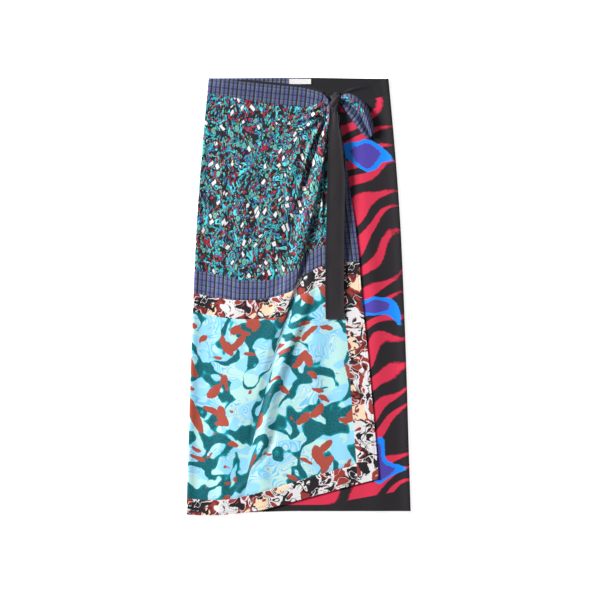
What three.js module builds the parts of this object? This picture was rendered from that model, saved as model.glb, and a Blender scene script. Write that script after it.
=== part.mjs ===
// A wrap skirt, laid flat on its back and tied at the waist.
// Millimetres, +Z up off the surface, +Y towards the waist, the origin under the middle of the whole skirt.
// Heights down the skirt are given as v, the distance below the back's waist line.

import * as THREE from "three";

// Driving sizes
const CLOTH = 1.2; // wall of a cloth piece
const GAP = 0.3; // between pieces at a seam, and between layers that lie on each other
const HEM_DROP = 875.6; // from the waist line to the lowest point of the wrap's hem
const BACK_LENGTH = 867; // from the waist line to the straight hem at the back
const BACK_BAND = 36; // depth of the waistband at the back
const CENTRE_BACK = 4; // where the two halves are joined at the back
const FOLD_RADIUS = 1.9; // side folds, at the middle of the wall
const SIDE_ROLL = 14; // how far in from a side fold the cloth still lies high
const UNDERLAP_END = -150; // inner edge of the underlap, under the wrap
const UNDERLAP_EASE = 25; // width over which the wrap steps down past that edge

const WAIST_Y = HEM_DROP / 2;
const BACK_Z = CLOTH / 2; // middle of the cloth that lies on the surface
const FRONT_Z = BACK_Z + CLOTH + GAP; // middle of the first layer on it
const FOLD_TOP = BACK_Z + 2 * FOLD_RADIUS;

// Half the skirt's width, from the waist to the hem
const OUTLINE = {
  v: [0, 60, 125, 205, 300, 445, 600, 745, 876],
  half: [180, 185.7, 191.5, 198, 204.4, 211, 216.6, 220.9, 224.9],
};

// The wrap's fold lines. A row is a section across the wrap at v, and a column is one line down it.
const FOLD_LINES = {
  names: ["middle", "neck", "valley", "ridge", "crease", "foot", "roll", "shade", "band", "edge"],
  v: [49, 75, 115, 165, 225, 295, 365, 445, 545, 665, 765, 875],
  x: [
    [15, 50, 57, 60, 62.5, 65, 68, 72, 76, 81],
    [3, 39, 56, 61.4, 63.6, 66.6, 69, 72, 76.6, 82],
    [-29, 15, 41, 52, 59, 62, 64, 67, 71, 87],
    [-53, -1, 27, 44, 54, 57.4, 60, 63, 66, 95],
    [-73, -21, 10, 30, 40, 44, 51, 58, 66, 103],
    [-91, -41, -9, 9, 21, 26, 37, 50, 73, 113],
    [-101, -57, -27, -7, 6.6, 10, 27, 43, 81.6, 121],
    [-117, -79, -53, -31, -17, -11, 17, 32, 89, 127],
    [-137, -105, -81, -61, -48, -41, -23, -3, 99.4, 138],
    [-161, -133, -111, -93, -79, -73, -61, -37, 107.6, 149],
    [-179, -153, -131, -115, -101, -93, -73, -53, 115.4, 157.6],
    [-187, -163, -141, -125, -111, -101, -73, -47, 123, 167],
  ],
  // Height of each fold line above the level at which the wrap lies flat
  rise: [
    [1, 5, 5, 6, 6, 6, 6, 6, 6, 5],
    [1, 4, 2.5, 7, 7, 5.5, 5.5, 5.5, 5, 4.5],
    [1, 3, 1.2, 8.5, 9, 5, 4.5, 4.5, 4.5, 5],
    [1, 2.8, 0.8, 8.5, 9, 2, 2.2, 3, 4, 6],
    [1, 2.6, 0.8, 8, 8.6, 1, 1.2, 1.6, 3.4, 6.5],
    [1.2, 2.6, 1, 7.5, 8, 0.8, 1.4, 1.6, 2.4, 5.2],
    [1.4, 2.4, 1.4, 6.2, 6.6, 0.8, 2.4, 2, 1.8, 3],
    [1.4, 2, 2, 5, 4.6, 1.2, 5, 2.4, 1.2, 1.4],
    [1, 1.8, 2.6, 3.4, 1.6, 0.6, 6, 1.4, 0.8, 0.8],
    [0.8, 2.4, 2.6, 2.2, 0.6, 0.4, 5, 1.2, 0.6, 0.6],
    [1.6, 2.2, 1.6, 1, 0.6, 1.4, 3.2, 1.4, 0.6, 0.6],
    [1, 1.4, 0.6, 0.4, 0.3, 0.6, 1.6, 1.2, 0.4, 0.4],
  ],
};

// The wrap's seams, from the waist to the hem. A row gives v where the seam crosses each fold line,
// with the side fold and the line half-way to the middle first, and v at the centre back.
const SEAM_NAMES = ["waist", "waistSeam", "upperFoot", "checkFoot", "borderFoot", "hemSeam", "hem"];
const SEAMS = {
  back: [0, BACK_BAND, 386, 430, 468, 831, BACK_LENGTH],
  v: [
    [1, 11.8, 22.2, 33.8, 42, 44, 46, 48, 50, 52, 54, 56],
    [32, 47, 59, 48.8, 58, 65, 71, 74.6, 75, 75, 75, 75],
    [385.8, 395, 405.4, 406.2, 398.2, 388.2, 375, 352.8, 347, 338.2, 329.6, 329],
    [431, 440.6, 445.8, 444.2, 439.4, 432.2, 425, 399, 388, 379.4, 370, 368.6],
    [468.6, 477.6, 482.8, 483.2, 481.6, 479.4, 475.8, 440.6, 428.2, 419.4, 412, 411],
    [841.6, 843.6, 845, 844.8, 843.4, 840.2, 837.4, 835, 828.2, 821.8, 771.8, 761],
    [873.8, 875, 875.6, 875, 873.8, 872, 870.4, 869, 864.6, 858, 812.8, 801.6],
  ],
};
const COLUMN = Object.fromEntries(["side", "left", ...FOLD_LINES.names].map((name, i) => [name, i]));
const SEAM = Object.fromEntries(SEAM_NAMES.map((name, i) => [name, i]));

// Small folds that run out from the knot: a row for each, with its path, half width and height
const GATHERS = [
  { x: [55, 23, -5, -30], v: [53, 65, 67, 66], half: [3.5, 5, 7, 8], rise: [1.5, 3, 2, 0] },
  { x: [55, 27, 3, -21], v: [65, 79, 85, 89], half: [3.5, 5, 7, 8], rise: [1.5, 3.4, 2.4, 0] },
  { x: [49, 23, 3, -17], v: [79, 95, 105, 111], half: [3.5, 5, 7, 8], rise: [1.5, 3, 2, 0] },
];

// The underlap's free top edge and its waist seam, from the side fold to its inner edge
const UNDERLAP = {
  x: [-149, -17, 43, 73, 93, 133, 180],
  top: [46, 46, 46, 33, 25, 14.6, 2],
  seam: [66, 66, 66, 57, 53, 45, BACK_BAND],
};
const RIPPLES = [
  // long soft waves down the underlap: how far in from the side fold, half width and height
  { inset: 62, half: 34, rise: 1.4 },
  { inset: 128, half: 30, rise: 0.9 },
];

// The hanging end of the tie
const TIE = {
  cloth: 1.4,
  v: [74, 95, 127, 165, 207, 285, 425, 483],
  left: [61.2, 60.6, 60, 58.8, 57.6, 55.8, 53.4, 54.6],
  right: [79, 80.4, 86, 89.8, 93.2, 91.8, 90.8, 91.4],
};

// The knot: a row is a section across it
const KNOT = {
  v: [27, 33, 41, 49, 57, 65, 70, 73.5],
  x: [79, 77, 73.5, 72.6, 73, 72.4, 71.4, 71],
  half: [9.5, 9.2, 7.8, 7, 7.2, 8.2, 8.6, 8.2],
  height: [3, 8, 13, 15.5, 15.5, 13.5, 11, 8.5],
  creases: 3,
  creaseDepth: 0.06,
};

// The bow's loop: a strip that leaves the knot, turns at its tip and comes back.
// Its foot lies on the skirt and its rim stands up round the slit.
const LOOP = {
  footX: [82.2, 90, 101, 118, 134, 146, 150.6, 149.8, 143, 133, 120, 106, 95, 86, 81.2],
  footV: [42, 35, 32.6, 37, 50, 69, 92, 112, 121.6, 119, 102, 82, 65, 54, 50],
  rimX: [82.6, 92, 103, 114, 124, 132, 137, 137.6, 135.4, 130, 121, 110, 100, 91, 82],
  rimV: [47, 51, 55.6, 63, 73.6, 86, 97, 104, 106.6, 104, 95, 83, 71, 59, 48.5],
  rise: [8, 10, 12, 13.5, 14, 13.5, 12, 11, 10.5, 10.5, 11, 11, 10.5, 9, 7.5],
  swell: 1.7, // how far the strip bulges out between its foot and its rim
};

const LABEL = { x: [-18.6, 25], v: [2.4, 12], thick: 0.8 };
const FACING = { x: [-139, 50], peek: 5.6, tuck: 6, taper: 40 };

// Finishes
const CHECKED = { color: 0x5b62a0, roughness: 0.7 };
const MOSAIC = { color: 0x2f7f8c, roughness: 0.6 };
const BORDER = { color: 0x8c4038, roughness: 0.65 };
const AQUA = { color: 0x8fd6e6, roughness: 0.6 };
const BLACK = { color: 0x2b282b, roughness: 0.75 };
const RED_PRINT = { color: 0x4a2530, roughness: 0.65 };
const WHITE = { color: 0xf2f1ef, roughness: 0.5 };

// Small tools
const mix = (a, b, t) => a + (b - a) * t;
const clamp01 = (t) => Math.min(1, Math.max(0, t));
const ease = (t) => clamp01(t) ** 2 * (3 - 2 * clamp01(t));
const bump = (distance, half) => Math.exp(-((distance / half) ** 2) * 1.8);
const steps = (from, to, count) => Array.from({ length: count + 1 }, (_, i) => mix(from, to, i / count));

// A smooth curve through points that never overshoots them, level beyond its ends
function curve(xs, ys) {
  const n = xs.length;
  const chord = xs.slice(1).map((x, i) => (ys[i + 1] - ys[i]) / (x - xs[i]));
  const slope = xs.map((_, i) => {
    if (i === 0 || i === n - 1) return i === 0 ? chord[0] : chord[n - 2];
    const [a, b] = [chord[i - 1], chord[i]];
    return a * b <= 0 ? 0 : (2 * a * b) / (a + b);
  });
  return (x) => {
    if (x <= xs[0]) return ys[0];
    if (x >= xs[n - 1]) return ys[n - 1];
    let i = 0;
    while (x > xs[i + 1]) i += 1;
    const h = xs[i + 1] - xs[i];
    const t = (x - xs[i]) / h;
    return (
      ys[i] * (1 + 2 * t) * (1 - t) ** 2 +
      slope[i] * h * t * (1 - t) ** 2 +
      ys[i + 1] * t * t * (3 - 2 * t) -
      slope[i + 1] * h * t * t * (1 - t)
    );
  };
}

// The cloth's shape
const halfWidth = curve(OUTLINE.v, OUTLINE.half);
const foldCentre = (v) => halfWidth(v) - FOLD_RADIUS - CLOTH / 2;
const sideRise = (x, v) => (FOLD_TOP - FRONT_Z) * bump(foldCentre(v) - Math.abs(x), SIDE_ROLL);

const lineX = FOLD_LINES.names.map((_, i) => curve(FOLD_LINES.v, FOLD_LINES.x.map((row) => row[i])));
const lineRise = FOLD_LINES.names.map((_, i) => curve(FOLD_LINES.v, FOLD_LINES.rise.map((row) => row[i])));

// Where the fold lines cross a section of the wrap, the side fold and the half-way line first
function section(v) {
  const x = lineX.map((line) => line(v));
  const rise = lineRise.map((line) => line(v));
  const side = -foldCentre(v);
  return { x: [side, mix(side, x[0], 0.5), ...x], rise: [0, rise[0] * 0.4, ...rise] };
}

// Height of a small fold at a point: the nearest place on its path settles width and height
function gatherRise(fold, x, v) {
  let best = { away: Infinity, at: 0 };
  for (let i = 0; i + 1 < fold.x.length; i += 1) {
    const [dx, dv] = [fold.x[i + 1] - fold.x[i], fold.v[i + 1] - fold.v[i]];
    const t = clamp01(((x - fold.x[i]) * dx + (v - fold.v[i]) * dv) / (dx * dx + dv * dv));
    const away = Math.hypot(x - fold.x[i] - t * dx, v - fold.v[i] - t * dv);
    if (away < best.away) best = { away, at: i + t };
  }
  const i = Math.min(Math.floor(best.at), fold.x.length - 2);
  const t = best.at - i;
  return mix(fold.rise[i], fold.rise[i + 1], t) * bump(best.away, mix(fold.half[i], fold.half[i + 1], t));
}

function underlapZ(x, v) {
  const inset = foldCentre(v) - x;
  const waves = RIPPLES.reduce((sum, wave) => sum + wave.rise * bump(inset - wave.inset, wave.half), 0);
  return FRONT_Z + sideRise(Math.max(x, 0), v) + waves * ease((v - BACK_BAND) / 80);
}

// Middle of the wrap's wall: it lies on the underlap, or past its inner edge on the back
function wrapZ(x, v) {
  const onUnderlap = ease((x - UNDERLAP_END + UNDERLAP_EASE) / (UNDERLAP_EASE - 2));
  const lain = mix(FRONT_Z, underlapZ(x, v) + CLOTH + GAP, onUnderlap);
  const { x: at, rise } = section(v);
  const folds = curve(at, rise)(x);
  const gathers = GATHERS.reduce((sum, fold) => sum + gatherRise(fold, x, v), 0);
  return lain + sideRise(Math.min(x, 0), v) + folds + gathers;
}

const place = (x, v, z) => new THREE.Vector3(x, WAIST_Y - v, z);

// The wrapped half as one sheet. u runs from -2 at the centre back and -1 to 0 round the side fold
// to 11 at the wrap's free edge, and seam runs from 0 at the waist to 6 at the hem.
function wrapPoint(u, seam) {
  const row = Math.max(0, Math.min(Math.floor(seam), SEAMS.v.length - 2));
  const vAt = (values) => mix(values[row], values[row + 1], seam - row);
  if (u < 0) {
    const sideV = vAt(SEAMS.v.map((values) => values[0]));
    const v = mix(sideV, vAt(SEAMS.back), ease(-u - 1));
    const centre = -foldCentre(v);
    if (u < -1) return place(mix(centre, CENTRE_BACK, -u - 1), v, BACK_Z);
    const angle = -u * Math.PI;
    return place(centre - FOLD_RADIUS * Math.sin(angle), v, BACK_Z + FOLD_RADIUS * (1 + Math.cos(angle)));
  }
  const index = SEAMS.v[0].map((_, i) => i);
  const v = vAt(SEAMS.v.map((values) => curve(index, values)(u)));
  const x = curve(index, section(v).x)(u);
  return place(x, v, wrapZ(x, v));
}

// The underlap half as one sheet: u runs from -2 at the centre back round the side fold to 1 at
// the underlap's inner edge, and seam from 0 at the waist over 1 at the waist seam to 2 at the hem.
const underlapTop = curve(UNDERLAP.x, UNDERLAP.top);
const underlapSeam = curve(UNDERLAP.x, UNDERLAP.seam);

function underlapPoint(u, seam) {
  const vAt = (top, waistSeam) =>
    seam < 1 ? mix(top, waistSeam, seam) : mix(waistSeam, BACK_LENGTH, seam - 1);
  if (u <= 0) {
    const v = mix(vAt(UNDERLAP.top.at(-1), BACK_BAND), vAt(0, BACK_BAND), ease(-u - 1));
    const centre = foldCentre(v);
    if (u < -1) return place(mix(centre, CENTRE_BACK, -u - 1), v, BACK_Z);
    const angle = -u * Math.PI;
    return place(centre + FOLD_RADIUS * Math.sin(angle), v, BACK_Z + FOLD_RADIUS * (1 + Math.cos(angle)));
  }
  const across = mix(foldCentre(BACK_BAND), UNDERLAP_END, u);
  const v = vAt(underlapTop(across), underlapSeam(across));
  const x = mix(foldCentre(v), UNDERLAP_END, u);
  return place(x, v, underlapZ(x, v));
}

// The wall: a sheet's middle, moved out and in along its normal
function normalOf(point, u, t) {
  const e = 1e-3;
  const along = point(u + e, t).sub(point(u - e, t));
  const down = point(u, t + e).sub(point(u, t - e));
  return down.cross(along).normalize();
}

function wall(point, us, ts, { thick = CLOTH, sewn = {} } = {}) {
  const rows = ts.length;
  const count = us.length * rows;
  const middles = us.map((u) => ts.map((t) => point(u, t)));
  const draw = (edge, next) => edge.add(next.clone().sub(edge).setLength(GAP / 2));
  if (sewn.start) middles[0].forEach((edge, j) => draw(edge, middles[1][j]));
  if (sewn.end) middles.at(-1).forEach((edge, j) => draw(edge, middles.at(-2)[j]));
  if (sewn.top) middles.forEach((column) => draw(column[0], column[1]));
  if (sewn.foot) middles.forEach((column) => draw(column.at(-1), column.at(-2)));
  const positions = new Float32Array(count * 6);
  us.forEach((u, i) =>
    ts.forEach((t, j) => {
      const out = normalOf(point, u, t).multiplyScalar(thick / 2);
      const outer = middles[i][j].clone().add(out);
      const inner = middles[i][j].clone().sub(out);
      outer.z = Math.max(0, outer.z);
      inner.z = Math.max(0, inner.z);
      outer.toArray(positions, (i * rows + j) * 3);
      inner.toArray(positions, (count + i * rows + j) * 3);
    }),
  );
  const faces = [];
  const quad = (a, b, c, d) => faces.push(a, b, c, a, c, d);
  const last = us.length - 1;
  for (let i = 0; i < last; i += 1) {
    for (let j = 0; j + 1 < rows; j += 1) {
      const a = i * rows + j;
      quad(a, a + 1, a + rows + 1, a + rows);
      quad(count + a, count + a + rows, count + a + rows + 1, count + a + 1);
    }
    const [first, end] = [i * rows, i * rows + rows - 1];
    quad(first, first + rows, count + first + rows, count + first);
    quad(end, count + end, count + end + rows, end + rows);
  }
  for (let j = 0; j + 1 < rows; j += 1) {
    const end = last * rows + j;
    quad(j, count + j, count + j + 1, j + 1);
    quad(end, end + 1, count + end + 1, count + end);
  }
  return solid(positions, faces);
}

// A closed body from its points and triangles, with its faces turned to look outwards
function solid(positions, faces) {
  const corner = (i) => new THREE.Vector3().fromArray(positions, faces[i] * 3);
  let volume = 0;
  for (let i = 0; i < faces.length; i += 3) volume += corner(i).dot(corner(i + 1).cross(corner(i + 2)));
  if (volume < 0) faces.reverse();
  const geometry = new THREE.BufferGeometry();
  geometry.setAttribute("position", new THREE.BufferAttribute(new Float32Array(positions), 3));
  geometry.setIndex(faces);
  geometry.computeVertexNormals();
  return geometry;
}

// Columns of a sheet: the back, the side fold and the front up to a fold line
const BACK_STEPS = 3;
const FOLD_STEPS = 4;
const FRONT_STEPS = [3, 3, 4, 3, 3, 2, 3, 3, 3, 4, 3];

// Rows of the wrap's sheet from one seam to the next
const SEAM_ROWS = [3, 24, 3, 3, 24, 3];

function frontColumns(from, to) {
  const us = [];
  for (let i = from; i < to; i += 1) us.push(...steps(i, i + 1, FRONT_STEPS[i]).slice(0, -1));
  return [...us, to];
}

function backAndFold() {
  return [...steps(-2, -1, BACK_STEPS).slice(0, -1), ...steps(-1, 0, FOLD_STEPS).slice(0, -1)];
}

function seamRows(from, to) {
  const ts = [];
  for (let i = from; i < to; i += 1) ts.push(...steps(i, i + 1, SEAM_ROWS[i]).slice(0, -1));
  return [...ts, to];
}

// A strip of the wrap from the centre back round the side fold to its side band
function wrapStrip(from, to, sewn, lastColumn = COLUMN.band) {
  const us = [...backAndFold(), ...frontColumns(0, lastColumn)];
  return wall(wrapPoint, us, seamRows(from, to), { sewn: { start: true, ...sewn } });
}

function sideStrip(from, to, sewn) {
  const us = frontColumns(COLUMN.band, COLUMN.edge);
  return wall(wrapPoint, us, seamRows(from, to), { sewn: { start: true, ...sewn } });
}

function underlapStrip(from, to, count, sewn) {
  const us = [...backAndFold(), ...steps(0, 1, 14)];
  return wall(underlapPoint, us, steps(from, to, count), { sewn: { start: true, ...sewn } });
}

// A black facing that peeks out above the wrap's top edge
function facing() {
  const topEdge = (x) => {
    const index = SEAMS.v[0].map((_, i) => i);
    const us = steps(0, COLUMN.valley, 48);
    const points = us.map((u) => curve(index, SEAMS.v[SEAM.waist])(u));
    const xs = us.map((u, i) => curve(index, section(points[i]).x)(u));
    return curve(xs, points)(x);
  };
  const [left, right] = FACING.x;
  const point = (u, t) => {
    const x = mix(left, right, u);
    const peek = FACING.peek * ease((x - left) / FACING.taper);
    return place(x, mix(topEdge(x) - peek, topEdge(x) + FACING.tuck, t), FRONT_Z);
  };
  return wall(point, steps(0, 1, 16), steps(0, 1, 1), { thick: 1 });
}

function label() {
  const z = CLOTH + GAP + LABEL.thick / 2;
  const point = (u, t) => place(mix(...LABEL.x, u), mix(...LABEL.v, t), z);
  return wall(point, steps(0, 1, 2), steps(0, 1, 1), { thick: LABEL.thick });
}

// The tie hangs taut over the wrap's high points, so its height is their upper hull
function hangingTie() {
  const left = curve(TIE.v, TIE.left);
  const right = curve(TIE.v, TIE.right);
  const vs = steps(TIE.v[0], TIE.v.at(-1), 34);
  const clearance = CLOTH / 2 + GAP + TIE.cloth / 2;
  const high = vs.map((v) => {
    const across = steps(left(v), right(v), 8).filter((x) => x < lineX.at(-1)(v) + 2);
    return Math.max(...across.map((x) => wrapZ(x, v))) + clearance;
  });
  const hull = [0];
  for (let i = 1; i < vs.length; i += 1) {
    while (hull.length > 1) {
      const [a, b] = hull.slice(-2);
      const line = mix(high[a], high[i], (vs[b] - vs[a]) / (vs[i] - vs[a]));
      if (high[b] > line) break;
      hull.pop();
    }
    hull.push(i);
  }
  const taut = curve(hull.map((i) => vs[i]), hull.map((i) => high[i] + 0.1));
  const point = (u, t) => {
    const v = mix(TIE.v[0], TIE.v.at(-1), t);
    return place(mix(left(v), right(v), u), v, taut(v));
  };
  return wall(point, steps(0, 1, 4), steps(0, 1, 30), { thick: TIE.cloth });
}

// The knot: rounded sections with a flat foot, joined down its length
function knot() {
  const around = 14;
  const foot = FRONT_Z + CLOTH / 2 + 2 * GAP;
  const [cx, half, height] = [KNOT.x, KNOT.half, KNOT.height].map((values) => curve(KNOT.v, values));
  const vs = steps(KNOT.v[0], KNOT.v.at(-1), 14);
  const positions = [];
  const faces = [];
  vs.forEach((v) =>
    steps(0, Math.PI, around).forEach((angle) => {
      const crease = 1 - KNOT.creaseDepth * Math.cos(2 * KNOT.creases * angle + v * 0.05);
      const x = cx(v) + half(v) * Math.cos(angle);
      const z = foot + height(v) * crease * Math.sin(angle) ** 0.8;
      place(x, v, z).toArray(positions, positions.length);
    }),
  );
  const ring = around + 1;
  const triangle = (a, b, c) => faces.push(a, b, c);
  for (let j = 0; j + 1 < vs.length; j += 1) {
    for (let i = 0; i < ring; i += 1) {
      const [a, b] = [j * ring + i, j * ring + ((i + 1) % ring)];
      triangle(a, a + ring, b + ring);
      triangle(a, b + ring, b);
    }
  }
  for (let i = 1; i + 1 < ring; i += 1) {
    triangle(0, i, i + 1);
    const end = (vs.length - 1) * ring;
    triangle(end, end + i + 1, end + i);
  }
  return solid(positions, faces);
}

function bowLoop() {
  const index = LOOP.rise.map((_, i) => i);
  const [footX, footV, rimX, rimV, rise] = [LOOP.footX, LOOP.footV, LOOP.rimX, LOOP.rimV, LOOP.rise].map(
    (values) => curve(index, values),
  );
  const foot = FRONT_Z + CLOTH / 2 + 2.5 * GAP;
  const point = (u, t) => {
    const outward = LOOP.swell * Math.sin(Math.PI * clamp01(t));
    const x = mix(footX(u), rimX(u), t);
    const v = mix(footV(u), rimV(u), t);
    const away = new THREE.Vector2(footX(u) - rimX(u), footV(u) - rimV(u)).normalize();
    const lift = rise(u) * Math.sin((clamp01(t) * Math.PI) / 2) ** 0.9;
    return place(x + away.x * outward, v + away.y * outward, foot + underlapZ(x, v) - FRONT_Z + lift);
  };
  return wall(point, steps(0, LOOP.rise.length - 1, 42), steps(0, 1, 6));
}

// The skirt
const skirt = new THREE.Group();

function sew(name, geometry, { color, roughness }) {
  const mesh = new THREE.Mesh(geometry, new THREE.MeshStandardMaterial({ color, roughness, metalness: 0 }));
  mesh.name = name;
  skirt.add(mesh);
}

sew("waistband_check", wrapStrip(SEAM.waist, SEAM.waistSeam, { foot: true }, COLUMN.valley), CHECKED);
sew("upper_panel", wrapStrip(SEAM.waistSeam, SEAM.upperFoot, { top: true, foot: true, end: true }), MOSAIC);
sew("check_band", wrapStrip(SEAM.upperFoot, SEAM.checkFoot, { top: true, foot: true, end: true }), CHECKED);
sew("border_band", wrapStrip(SEAM.checkFoot, SEAM.borderFoot, { top: true, foot: true, end: true }), BORDER);
sew("lower_panel", wrapStrip(SEAM.borderFoot, SEAM.hemSeam, { top: true, foot: true, end: true }), AQUA);
sew("hem_band", wrapStrip(SEAM.hemSeam, SEAM.hem, { top: true, end: true }), BORDER);
sew("side_band_check", sideStrip(SEAM.waistSeam, SEAM.checkFoot, { foot: true }), CHECKED);
sew("side_band_border", sideStrip(SEAM.checkFoot, SEAM.hem, { top: true }), BORDER);
sew("waistband_black", underlapStrip(0, 1, 2, { foot: true }), BLACK);
sew("underlap_panel", underlapStrip(1, 2, 18, { top: true }), RED_PRINT);
sew("waist_facing", facing(), BLACK);
sew("label", label(), WHITE);
sew("knot", knot(), BLACK);
sew("tie_end", hangingTie(), BLACK);
sew("bow_loop", bowLoop(), CHECKED);

export default skirt;
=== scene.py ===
# %% [markdown]
# # A wrap skirt, laid flat and tied
# The solids give the skirt's size and folds. Here each cut piece of cloth gets a finer shape, its print,
# its weave and its stitching, and the whole is laid on a pale table under soft light.

import bpy
import numpy as np
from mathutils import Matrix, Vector


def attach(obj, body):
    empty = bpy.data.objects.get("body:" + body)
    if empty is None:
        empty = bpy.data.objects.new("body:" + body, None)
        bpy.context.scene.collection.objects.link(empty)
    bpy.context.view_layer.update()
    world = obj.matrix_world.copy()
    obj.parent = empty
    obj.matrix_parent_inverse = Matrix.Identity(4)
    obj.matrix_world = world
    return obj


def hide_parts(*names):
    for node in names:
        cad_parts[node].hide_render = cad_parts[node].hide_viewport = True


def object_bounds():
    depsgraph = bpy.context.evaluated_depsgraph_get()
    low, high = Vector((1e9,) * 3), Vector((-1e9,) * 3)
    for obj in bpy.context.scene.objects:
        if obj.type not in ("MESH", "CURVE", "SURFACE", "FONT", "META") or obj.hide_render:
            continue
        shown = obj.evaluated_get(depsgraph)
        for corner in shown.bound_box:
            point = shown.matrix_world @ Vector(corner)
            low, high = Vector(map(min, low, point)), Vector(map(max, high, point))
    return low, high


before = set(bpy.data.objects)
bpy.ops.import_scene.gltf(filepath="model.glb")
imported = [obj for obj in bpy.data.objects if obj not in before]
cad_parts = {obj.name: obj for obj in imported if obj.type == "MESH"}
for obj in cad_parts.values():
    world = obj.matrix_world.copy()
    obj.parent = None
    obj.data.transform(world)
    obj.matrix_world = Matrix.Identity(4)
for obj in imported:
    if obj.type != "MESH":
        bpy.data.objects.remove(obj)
solids_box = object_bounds()
print("solids' box in metres:", [[round(float(c), 4) for c in corner] for corner in solids_box])

# %% [markdown]
# ## The skirt's own sizes
# Lengths are in millimetres, as on a cutting table, and v is the distance below the back's waist line, where
# the solids' box ends. Each layer of cloth lies a wall and a gap above the one under it. A side fold is half
# a circle, so the cloth at the front starts higher there, and the outline says how far out the fold lies.

# %% Sizes
MM = 0.001
CLOTH = 1.2  # the solids' wall
GAP = 0.3
SHEET = 0.9  # the cloth that shows, a little thinner than the solids' wall
WAIST_Y = round(float(solids_box[1][1]) / MM, 1)
BACK_LENGTH = 867
BACK_BAND = 36
CENTRE_BACK = 4  # where the two halves meet at the back, right of the middle
FOLD_RADIUS = 1.9
SIDE_ROLL = 14  # how wide a strip beside the side fold the fold lifts
UNDERLAP_END = -150
UNDERLAP_EASE = 25  # the wrap comes down past the underlap's end over this width
UNDERLAP_CLEAR = 2  # but stays fully up for the first of it
BACK_Z = CLOTH / 2
FRONT_Z = BACK_Z + CLOTH + GAP
FOLD_TOP = BACK_Z + 2 * FOLD_RADIUS
OUTLINE = {
    "v": [0, 60, 125, 205, 300, 445, 600, 745, 876],
    "half": [180, 185.7, 191.5, 198, 204.4, 211, 216.6, 220.9, 224.9],
}
waist_half, hem_half = OUTLINE["half"][0], OUTLINE["half"][-1]
print("the skirt lies", 2 * waist_half, "mm wide at the waist and", 2 * hem_half, "at the hem")

# %% [markdown]
# ## Long folds
# The wrap is described by lines that run down it from the waist. One table says where each line is and the
# other how high the cloth stands there, so a fold is a line that stands higher than its neighbours. A row of
# either table is one distance down the skirt, and its columns are the lines from left to right.

# %% Fold lines of the wrap
LINES = ["middle", "neck", "valley", "ridge", "crease", "foot", "roll", "shade", "band", "edge"]
FOLD_V = [49, 75, 115, 165, 225, 295, 365, 445, 545, 665, 765, 875]
FOLD_X = np.array([
    [15, 50, 57, 60, 62.5, 65, 68, 72, 76, 81],
    [3, 39, 56, 61.4, 63.6, 66.6, 69, 72, 76.6, 82],
    [-29, 15, 41, 49, 54.5, 58.5, 63, 66, 71, 87],
    [-53, -1, 27, 41, 49, 53.4, 60, 63, 66, 95],
    [-73, -21, 10, 28, 39, 43.4, 51, 58, 66, 103],
    [-91, -41, -9, 9, 21, 26, 37, 50, 73, 113],
    [-101, -57, -27, -7, 6.6, 10, 27, 43, 81.6, 121],
    [-117, -79, -53, -31, -17, -11, 17, 32, 89, 127],
    [-137, -105, -81, -61, -48, -41, -23, -3, 99.4, 138],
    [-161, -133, -111, -93, -79, -73, -61, -37, 107.6, 149],
    [-179, -153, -131, -115, -101, -93, -73, -53, 115.4, 157.6],
    [-187, -163, -141, -125, -111, -101, -73, -47, 123, 167],
])
FOLD_RISE = np.array([
    [1, 5, 5, 6, 6, 6, 6, 6, 6, 5],
    [1, 4, 2.5, 7, 7, 5.5, 5.5, 5.5, 5, 4.5],
    [1, 3, 1.2, 8.5, 9, 3, 3.5, 4, 4, 3],
    [1, 2.8, 0.8, 8.5, 9, 1, 1.4, 2.4, 3.4, 1.6],
    [1, 2.6, 0.8, 8, 8.6, 0.6, 0.8, 1.4, 2.6, 1.2],
    [1.2, 2.6, 1, 7.5, 8, 0.6, 1, 1.4, 2.2, 1.2],
    [1.4, 2.4, 1.4, 6.2, 6.6, 0.8, 2.2, 2, 1.8, 1.4],
    [1.4, 2, 2, 5, 4.6, 1.2, 5, 2.4, 1.2, 1.4],
    [1, 1.8, 2.6, 3.4, 1.6, 0.6, 6, 1.4, 0.8, 0.8],
    [0.8, 2.4, 2.6, 2.2, 0.6, 0.4, 5, 1.2, 0.6, 0.6],
    [1.6, 2.2, 1.6, 1, 0.6, 1.4, 3.2, 1.4, 0.6, 0.6],
    [1, 1.4, 0.6, 0.4, 0.3, 0.6, 1.6, 1.2, 0.4, 0.4],
])
print(len(LINES), "fold lines, each placed at", len(FOLD_V), "distances down the skirt")

# %% Seams of the wrap
# A row is one seam: v where it crosses the side fold, the half-way line and each fold line.
SEAM_V = np.array([
    [1, 11.8, 22.2, 33.8, 42, 44, 46, 48, 50, 52, 54, 56],
    [32, 47, 59, 48.8, 58, 65, 71, 74.6, 75, 75, 75, 75],
    [385.8, 395, 405.4, 406.2, 398.2, 388.2, 375, 352.8, 347, 338.2, 329.6, 329],
    [431, 440.6, 445.8, 444.2, 439.4, 432.2, 425, 399, 388, 379.4, 370, 368.6],
    [468.6, 477.6, 482.8, 483.2, 481.6, 479.4, 475.8, 440.6, 428.2, 419.4, 412, 411],
    [841.6, 843.6, 845, 844.8, 843.4, 840.2, 837.4, 835, 828.2, 821.8, 771.8, 761],
    [873.8, 875, 875.6, 875, 873.8, 872, 870.4, 869, 864.6, 858, 812.8, 801.6],
])
# The same seams at the centre back.
SEAM_BACK = np.array([0, BACK_BAND, 386, 430, 468, 831, BACK_LENGTH])
WAIST, WAIST_SEAM, UPPER_FOOT, CHECK_FOOT, BORDER_FOOT, HEM_SEAM, HEM = range(7)
VALLEY, FOOT, BAND, EDGE = (2 + LINES.index(line) for line in ("valley", "foot", "band", "edge"))
SEAM_COLUMNS = range(EDGE + 1)
WAIST_STANDS = 3.4  # the waistband's top edge stands up this far between the side fold and the knot
print(len(SEAM_V), "seams and edges across the wrap, which cut it into", len(SEAM_V) - 1, "strips")

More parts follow.
